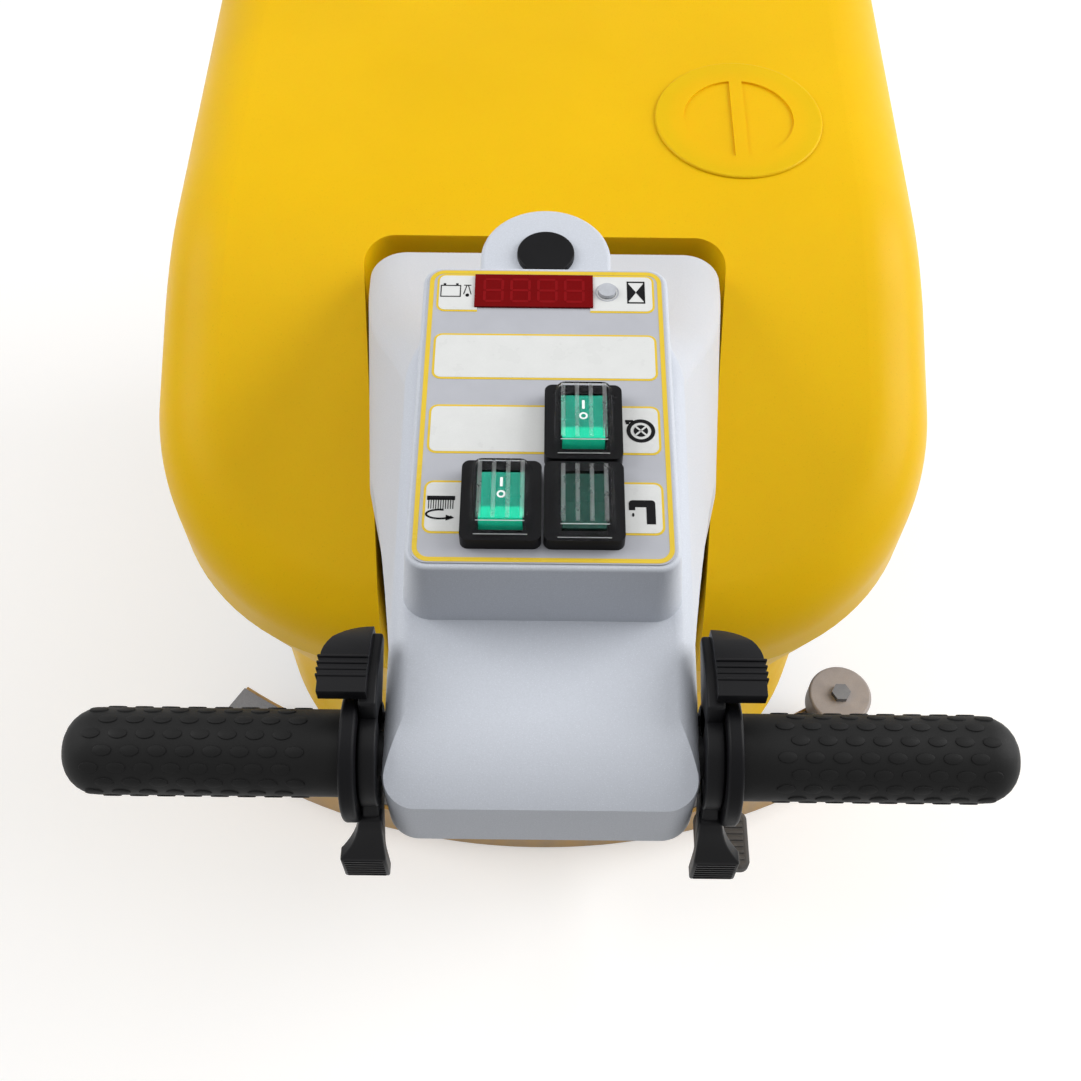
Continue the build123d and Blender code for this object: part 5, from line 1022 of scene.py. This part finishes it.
class SCRUBBER_OT_levers(bpy.types.Operator):
    """Make the two levers, each with a ridged thumb paddle and a ribbed finger paddle"""

    bl_idname = "scrubber.levers"
    bl_label = "Levers"

    hub_round = 0.8 * MM
    peg_radius = 2 * MM
    peg_length = 15 * MM
    peg_round = 0.5 * MM
    web_round = 1.1 * MM
    thumb_start = 3.2
    thumb_near = 9.5
    thumb_far = 40
    thumb_top = 31
    thumb_corner = 17 * MM
    thumb_round = 1.4 * MM
    ridge_lap = 0.8
    ridge_drop = 0.25 * MM
    ridge_round = 0.35 * MM
    finger_start = -1.5
    finger_round = 0.8 * MM
    rib_inset = 1.2
    rib_pitch = 2.4 * MM
    rib_round = 0.3 * MM
    # The finger paddle's neck: width, and the step forward and up to it, in mm
    neck = (
        (14.4, 0.5, 1.0), (13.2, 0.8, 1.6), (11.8, 1.0, 2.0), (10.4, 1.2, 2.4),
        (9.2, 1.3, 2.8), (8.2, 1.5, 3.4), (7.2, 2.2, 5.0),
    )

    def execute(self, context):
        sizes = context.scene.scrubber_sizes
        for side, outward in (("left", -1), ("right", 1)):
            self.outward = outward
            on_hub = grip_axis + Vector((-grip_axis.x, 0, 0.8 * sizes.lever_hub))
            self.inner = meet(f"{side}_lever", on_hub, (outward, 0, 0))[0].x
            pieces = [self.make_hub(sizes), *self.make_webs(sizes), self.make_thumb(sizes)]
            pieces += [*self.make_finger(sizes), self.make_ridges(sizes)]
            lever = join(f"{side}_lever_arm", pieces)
            finish_piece(lever, f"{side}_paddle", "black_plastic", "lever", f"{side}_lever")
        return {"FINISHED"}

    def place(self, out, along, up):
        """A point outwards from the lever's inner face, and forward and up from the handlebar, in mm."""
        centre = Vector((self.inner, grip_axis.y, grip_axis.z))
        return centre + Vector((self.outward * out, along, up)) * MM

    def slab(self, reach, low, high, cuts=()):
        """A block over a reach outwards and a box of the side view, less what each line cuts away."""
        corners = self.place(reach[0], *low), self.place(reach[1], *high)
        block = start_block(
            "slab", [min(pair) for pair in zip(*corners)], [max(pair) for pair in zip(*corners)]
        )
        self.cut(block, cuts)
        return block

    def cut(self, block, lines):
        """Cut away what lies to the left of each line of the side view."""
        for start, end in lines:
            with edit_all(block):
                bpy.ops.mesh.bisect(
                    plane_co=self.place(0, *start),
                    plane_no=Vector((0, start[1] - end[1], end[0] - start[0])).normalized(),
                    use_fill=True, clear_outer=True,
                )

    def make_hub(self, sizes):
        """A ring round the handlebar, with the peg that goes into the head."""
        middle = self.place(sizes.lever_web / MM / 2, 0, 0)
        hub = start_rod("hub", middle, sizes.lever_hub, sizes.lever_web, "X", 64)
        open_ring(hub, sizes.lever_hub - sizes.lever_bore, X)
        round_sharp(hub, self.hub_round, 3)
        peg = start_rod("peg", self.place(-6.5, 14, 0), self.peg_radius, self.peg_length, "X", 24)
        round_sharp(peg, self.peg_round, 2)
        return join("hub", [hub, peg])

    def make_webs(self, sizes):
        """The plates beside the head that carry the two paddles."""
        reach = 0, sizes.lever_web / MM
        front_cuts = ((0, 0), (7.2, 25.5)), ((20, 25.5), (38.6, 20)), ((38.6, 15.6), (0, 0))
        rear_cuts = ((-28.1, -24), (-16.5, 0)), ((9.5, 0), (-26, -41.6))
        webs = (
            self.slab(reach, (-4, -4), (38.6, 25.5), front_cuts),
            self.slab(reach, (-28, -38), (9.5, 0), rear_cuts),
        )
        for web in webs:
            round_sharp(web, self.web_round, 3)
        return webs

    def make_thumb(self, sizes):
        """The domed thumb paddle, round at its outer far corner."""
        near, far, top = self.thumb_near, self.thumb_far, self.thumb_top
        reach = self.thumb_start, sizes.lever_reach / MM
        paddle = self.slab(reach, (near, 15.5), (far, top))
        corner = self.place(reach[1], far, 0)
        round_edges(
            paddle,
            lambda first, second: upright(first, second) and (first.xy - corner.xy).length < HAIR,
            self.thumb_corner, 10,
        )
        dome = ((17, top), (28, 29.4)), ((25, 30.2), (34, 27)), ((31, 28.8), (far, 22))
        self.cut(paddle, (*dome, ((far, 16), (near, 25))))
        round_sharp(paddle, self.thumb_round, 4)
        return paddle

    def make_ridges(self, sizes):
        """Four ridges over the thumb paddle's near end and down its outer edge."""
        reach = self.thumb_start, sizes.lever_reach / MM + self.ridge_lap
        ridge = self.slab(reach, (15.4, 24.6), (16.4, self.thumb_top + sizes.ridge_rise / MM))
        round_sharp(ridge, self.ridge_round, 3)
        repeat(ridge, 4, (0, sizes.ridge_pitch, -self.ridge_drop))
        return ridge

    def make_finger(self, sizes):
        """The finger paddle, with a neck that narrows up to the hub and ribs on its rear face."""
        start, width = self.finger_start, sizes.finger_reach / MM
        paddle = self.slab((start, width), (-30.6, -44.4), (-25.2, -27))
        rib = self.slab((start + self.rib_inset, width - self.rib_inset), (-31, -43), (-30.2, -42))
        with edit_faces(paddle, facing(0, 0, 1)):
            for narrower, along, up in self.neck:
                step = {"value": (0, along * MM, up * MM)}
                bpy.ops.mesh.extrude_region_move(TRANSFORM_OT_translate=step)
                bpy.ops.transform.resize(
                    value=(narrower / width, 1, 1), center_override=self.place(0, 0, 0)
                )
                width = narrower
        mend_normals(paddle)
        round_sharp(paddle, self.finger_round, 3)
        round_sharp(rib, self.rib_round, 2)
        repeat(rib, 7, (0, 0, self.rib_pitch))
        return paddle, rib


class SCRUBBER_OT_tyres(bpy.types.Operator):
    """Make the two drive tyres with their treads"""

    bl_idname = "scrubber.tyres"
    bl_label = "Tyres"

    shoulder = 7 * MM
    bar_offset = 8.2 * MM
    bar_half = 7.8 * MM
    bar_root = 1.2 * MM
    bar_round = 0.8 * MM
    bar_lean = 0.32

    def execute(self, context):
        sizes = context.scene.scrubber_sizes
        hub_low, hub_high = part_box("left_wheel_hub")
        bore = (hub_high.z - hub_low.z) / 2
        for side in ("left", "right"):
            low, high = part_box(f"{side}_wheel_tyre")
            centre = (low + high) / 2
            tread_base = (high.z - low.z) / 2 - sizes.tread_rise
            band = start_rod(f"{side}_tyre", centre, tread_base, high.x - low.x, "X", 96, "NOTHING")
            apply_modifier(
                band, "SOLIDIFY", thickness=tread_base - bore, offset=-1, use_even_offset=True
            )
            mend_normals(band)
            round_edges(
                band,
                lambda first, second: abs(first.x - second.x) < HAIR
                and min((first - centre).yz.length, (second - centre).yz.length) > tread_base - 1 * MM,
                self.shoulder, 5,
            )
            bars = [self.make_bar(sizes, centre + Vector((0, 0, tread_base)), edge) for edge in (-1, 1)]
            tread = join("tread", bars)
            repeat_round(tread, centre, (1, 0, 0), sizes.tread_bars)
            tyre = join(f"{side}_tyre", [band, tread])
            finish_piece(tyre, f"{side}_wheel", "wheel_tread", "wheel_tread", f"{side}_wheel_tyre")
        return {"FINISHED"}

    def make_bar(self, sizes, top, edge):
        """A slanting tread bar on one half of a tyre's top."""
        middle = top + Vector((edge * self.bar_offset, 0, 0))
        bar = start_block(
            "bar",
            middle - Vector((self.bar_half, sizes.tread_bar / 2, self.bar_root)),
            middle + Vector((self.bar_half, sizes.tread_bar / 2, sizes.tread_rise)),
        )
        round_edges(bar, lying_at(Z, middle.z + sizes.tread_rise), self.bar_round, 2)
        turn_mesh(bar, -edge * self.bar_lean, "Z", middle)
        return bar


class SCRUBBER_OT_bristles(bpy.types.Operator):
    """Set the brush with rings of bristle tufts"""

    bl_idname = "scrubber.bristles"
    bl_label = "Bristles"

    bore = 100 * MM
    rings = 9
    rim = 8 * MM
    pitch = 15 * MM
    lean = 6 * MM

    def execute(self, context):
        sizes = context.scene.scrubber_sizes
        centre = (bristles_low + bristles_high) / 2
        outside = (block_high.x - block_low.x) / 2
        tufts = []
        for ring in range(self.rings):
            share = ring / (self.rings - 1)
            radius = self.bore + (outside - self.rim - self.bore) * share
            tuft = self.make_tuft(sizes, centre + Vector((radius, 0, 0)), self.lean * share)
            repeat_round(tuft, centre, (0, 0, 1), round(2 * math.pi * radius / self.pitch))
            tufts.append(tuft)
        bristles = join("brush_tufts", tufts)
        finish_piece(bristles, "brush", "bristle", "bristle", "brush_bristles")
        return {"FINISHED"}

    def make_tuft(self, sizes, place, lean):
        """A tuft that spreads and leans outwards towards the floor."""
        tuft = start_rod("tuft", place, sizes.tuft_radius, bristles_high.z - bristles_low.z, "Z", 8)
        with edit_faces(tuft, facing(0, 0, -1)):
            bpy.ops.transform.resize(value=(sizes.tuft_spread / sizes.tuft_radius,) * 2 + (1,))
            bpy.ops.transform.translate(value=(lean, 0, 0))
        return tuft


class SCRUBBER_OT_pedal_treads(bpy.types.Operator):
    """Rib the top of the pedal pad"""

    bl_idname = "scrubber.pedal_treads"
    bl_label = "Pedal treads"

    start = 9 * MM
    side_inset = 5 * MM
    half_width = 1.6 * MM
    root = 1 * MM
    rise = 1.4 * MM
    edge = 0.9 * MM
    pitch = 6 * MM

    def execute(self, context):
        along, top = pedal_low.y + self.start, pedal_high.z + self.rise
        tread = start_block(
            "pedal_treads",
            (pedal_low.x + self.side_inset, along - self.half_width, pedal_high.z - self.root),
            (pedal_high.x - self.side_inset, along + self.half_width, top),
        )
        round_edges(tread, lying_at(Z, top), self.edge, 3)
        repeat(tread, 7, (0, self.pitch, 0))
        finish_piece(tread, "pedal", "grip_rubber", "pedal_pad")
        return {"FINISHED"}


class SCRUBBER_OT_stage(bpy.types.Operator):
    """Set the floor, the lamps, the room light and the camera"""

    bl_idname = "scrubber.stage"
    bl_label = "Stage"

    white = 1, 1, 1, 1
    floor_size = 14
    floor_drop = 0.5 * MM
    lamp_reach = 1.6, 4
    lamp_aim = 0, -0.1, 0.6
    film_width = 36

    def execute(self, context):
        stage = context.scene.scrubber_stage
        self.make_floor(context.scene.scrubber_colours.floor, stage)
        self.make_lamp("key_lamp", (2.3, 0.3, 2.0), 2.0, stage.key_power)
        self.make_lamp("top_lamp", (0, 0.1, 3.1), 2.2, stage.top_power)
        self.make_lamp("fill_lamp", (-2.2, 0.2, 2.4), 1.8, stage.fill_power)
        self.make_room(context.scene, stage)
        self.make_camera(context.scene, stage)
        context.scene.view_settings.view_transform = "Standard"
        return {"FINISHED"}

    def make_floor(self, tone, stage):
        """A pale floor that glows a little, and more beyond the lamps, so that it shows as white."""
        clear_selection()
        bpy.ops.mesh.primitive_plane_add(size=self.floor_size, location=(0, 0, -self.floor_drop))
        floor = bpy.context.object
        floor.name = "floor"
        finish = Finish("floor_pale")
        reach = finish.reckon("VectorMath", "LENGTH", finish.place)
        glow = finish.spread(reach, stage.floor_glow, stage.far_glow, *self.lamp_reach)
        material = finish.done(
            (), Base_Color=finish.cloudy(finish.noise(600, 3), tone, 0.985, 1), Roughness=0.9,
            Specular_IOR_Level=0.1, Emission_Color=self.white,
            Emission_Strength=finish.reckon("Math", "MULTIPLY", finish.seen_only(), glow),
        )
        floor.data.materials.append(material)

    def make_lamp(self, name, place, size, power):
        """A square soft lamp aimed at the middle of the scrubber."""
        clear_selection()
        bpy.ops.object.light_add(type="AREA", location=place)
        lamp = bpy.context.object
        lamp.name = name
        lamp.data.size = size
        lamp.data.energy = power
        aim = Vector(self.lamp_aim) - Vector(place)
        lamp.rotation_euler = aim.to_track_quat("-Z", "Y").to_euler()

    def make_room(self, scene, stage):
        """An even light all round that shows as white."""
        world = bpy.data.worlds.new("room")
        scene.world = world
        world.use_nodes = True
        room = Shading(world.node_tree)
        strength = room.spread(room.seen_only(), stage.room_light, 1, 0, 1)
        room.give(world.node_tree.nodes["Background"], Color=self.white, Strength=strength)

    def make_camera(self, scene, stage):
        clear_selection()
        bpy.ops.object.camera_add(
            location=(-stage.camera_left, grip_axis.y - stage.camera_back, grip_axis.z + stage.camera_up)
        )
        camera = bpy.context.object
        camera.name = "camera"
        camera.data.lens = stage.camera_lens
        camera.data.sensor_width = self.film_width
        tilt = Matrix.Rotation(math.pi / 2 - stage.camera_pitch, 3, "X")
        camera.rotation_euler = (tilt @ Matrix.Rotation(stage.camera_roll, 3, "Z")).to_euler()
        scene.camera = camera


OPERATORS = (
    SCRUBBER_OT_finishes,
    SCRUBBER_OT_grips,
    SCRUBBER_OT_levers,
    SCRUBBER_OT_panel,
    SCRUBBER_OT_display,
    SCRUBBER_OT_boots,
    SCRUBBER_OT_tyres,
    SCRUBBER_OT_bristles,
    SCRUBBER_OT_pedal_treads,
    SCRUBBER_OT_stage,
)
SETTINGS = {
    "scrubber_sizes": ScrubberSizes,
    "scrubber_colours": ScrubberColours,
    "scrubber_stage": ScrubberStage,
}


class SCRUBBER_PT_dressing(bpy.types.Panel):
    """Lists the steps and their settings"""

    bl_idname = "SCRUBBER_PT_dressing"
    bl_label = "Floor scrubber"
    bl_space_type = "VIEW_3D"
    bl_region_type = "UI"
    bl_category = "Scrubber"

    def draw(self, context):
        for operator in OPERATORS:
            self.layout.operator(operator.bl_idname)
        for name, group in SETTINGS.items():
            box = self.layout.box()
            box.label(text=group.__doc__)
            for setting in group.__annotations__:
                box.prop(getattr(context.scene, name), setting)


CLASSES = (*SETTINGS.values(), *OPERATORS, SCRUBBER_PT_dressing)


def register():
    for cls in CLASSES:
        bpy.utils.register_class(cls)
    for name, group in SETTINGS.items():
        setattr(bpy.types.Scene, name, bpy.props.PointerProperty(type=group))


def unregister():
    for name in SETTINGS:
        delattr(bpy.types.Scene, name)
    for cls in reversed(CLASSES):
        bpy.utils.unregister_class(cls)


def main():
    register()
    for operator in OPERATORS:
        family, step = operator.bl_idname.split(".")
        getattr(getattr(bpy.ops, family), step)()


if __name__ == "__main__":
    main()
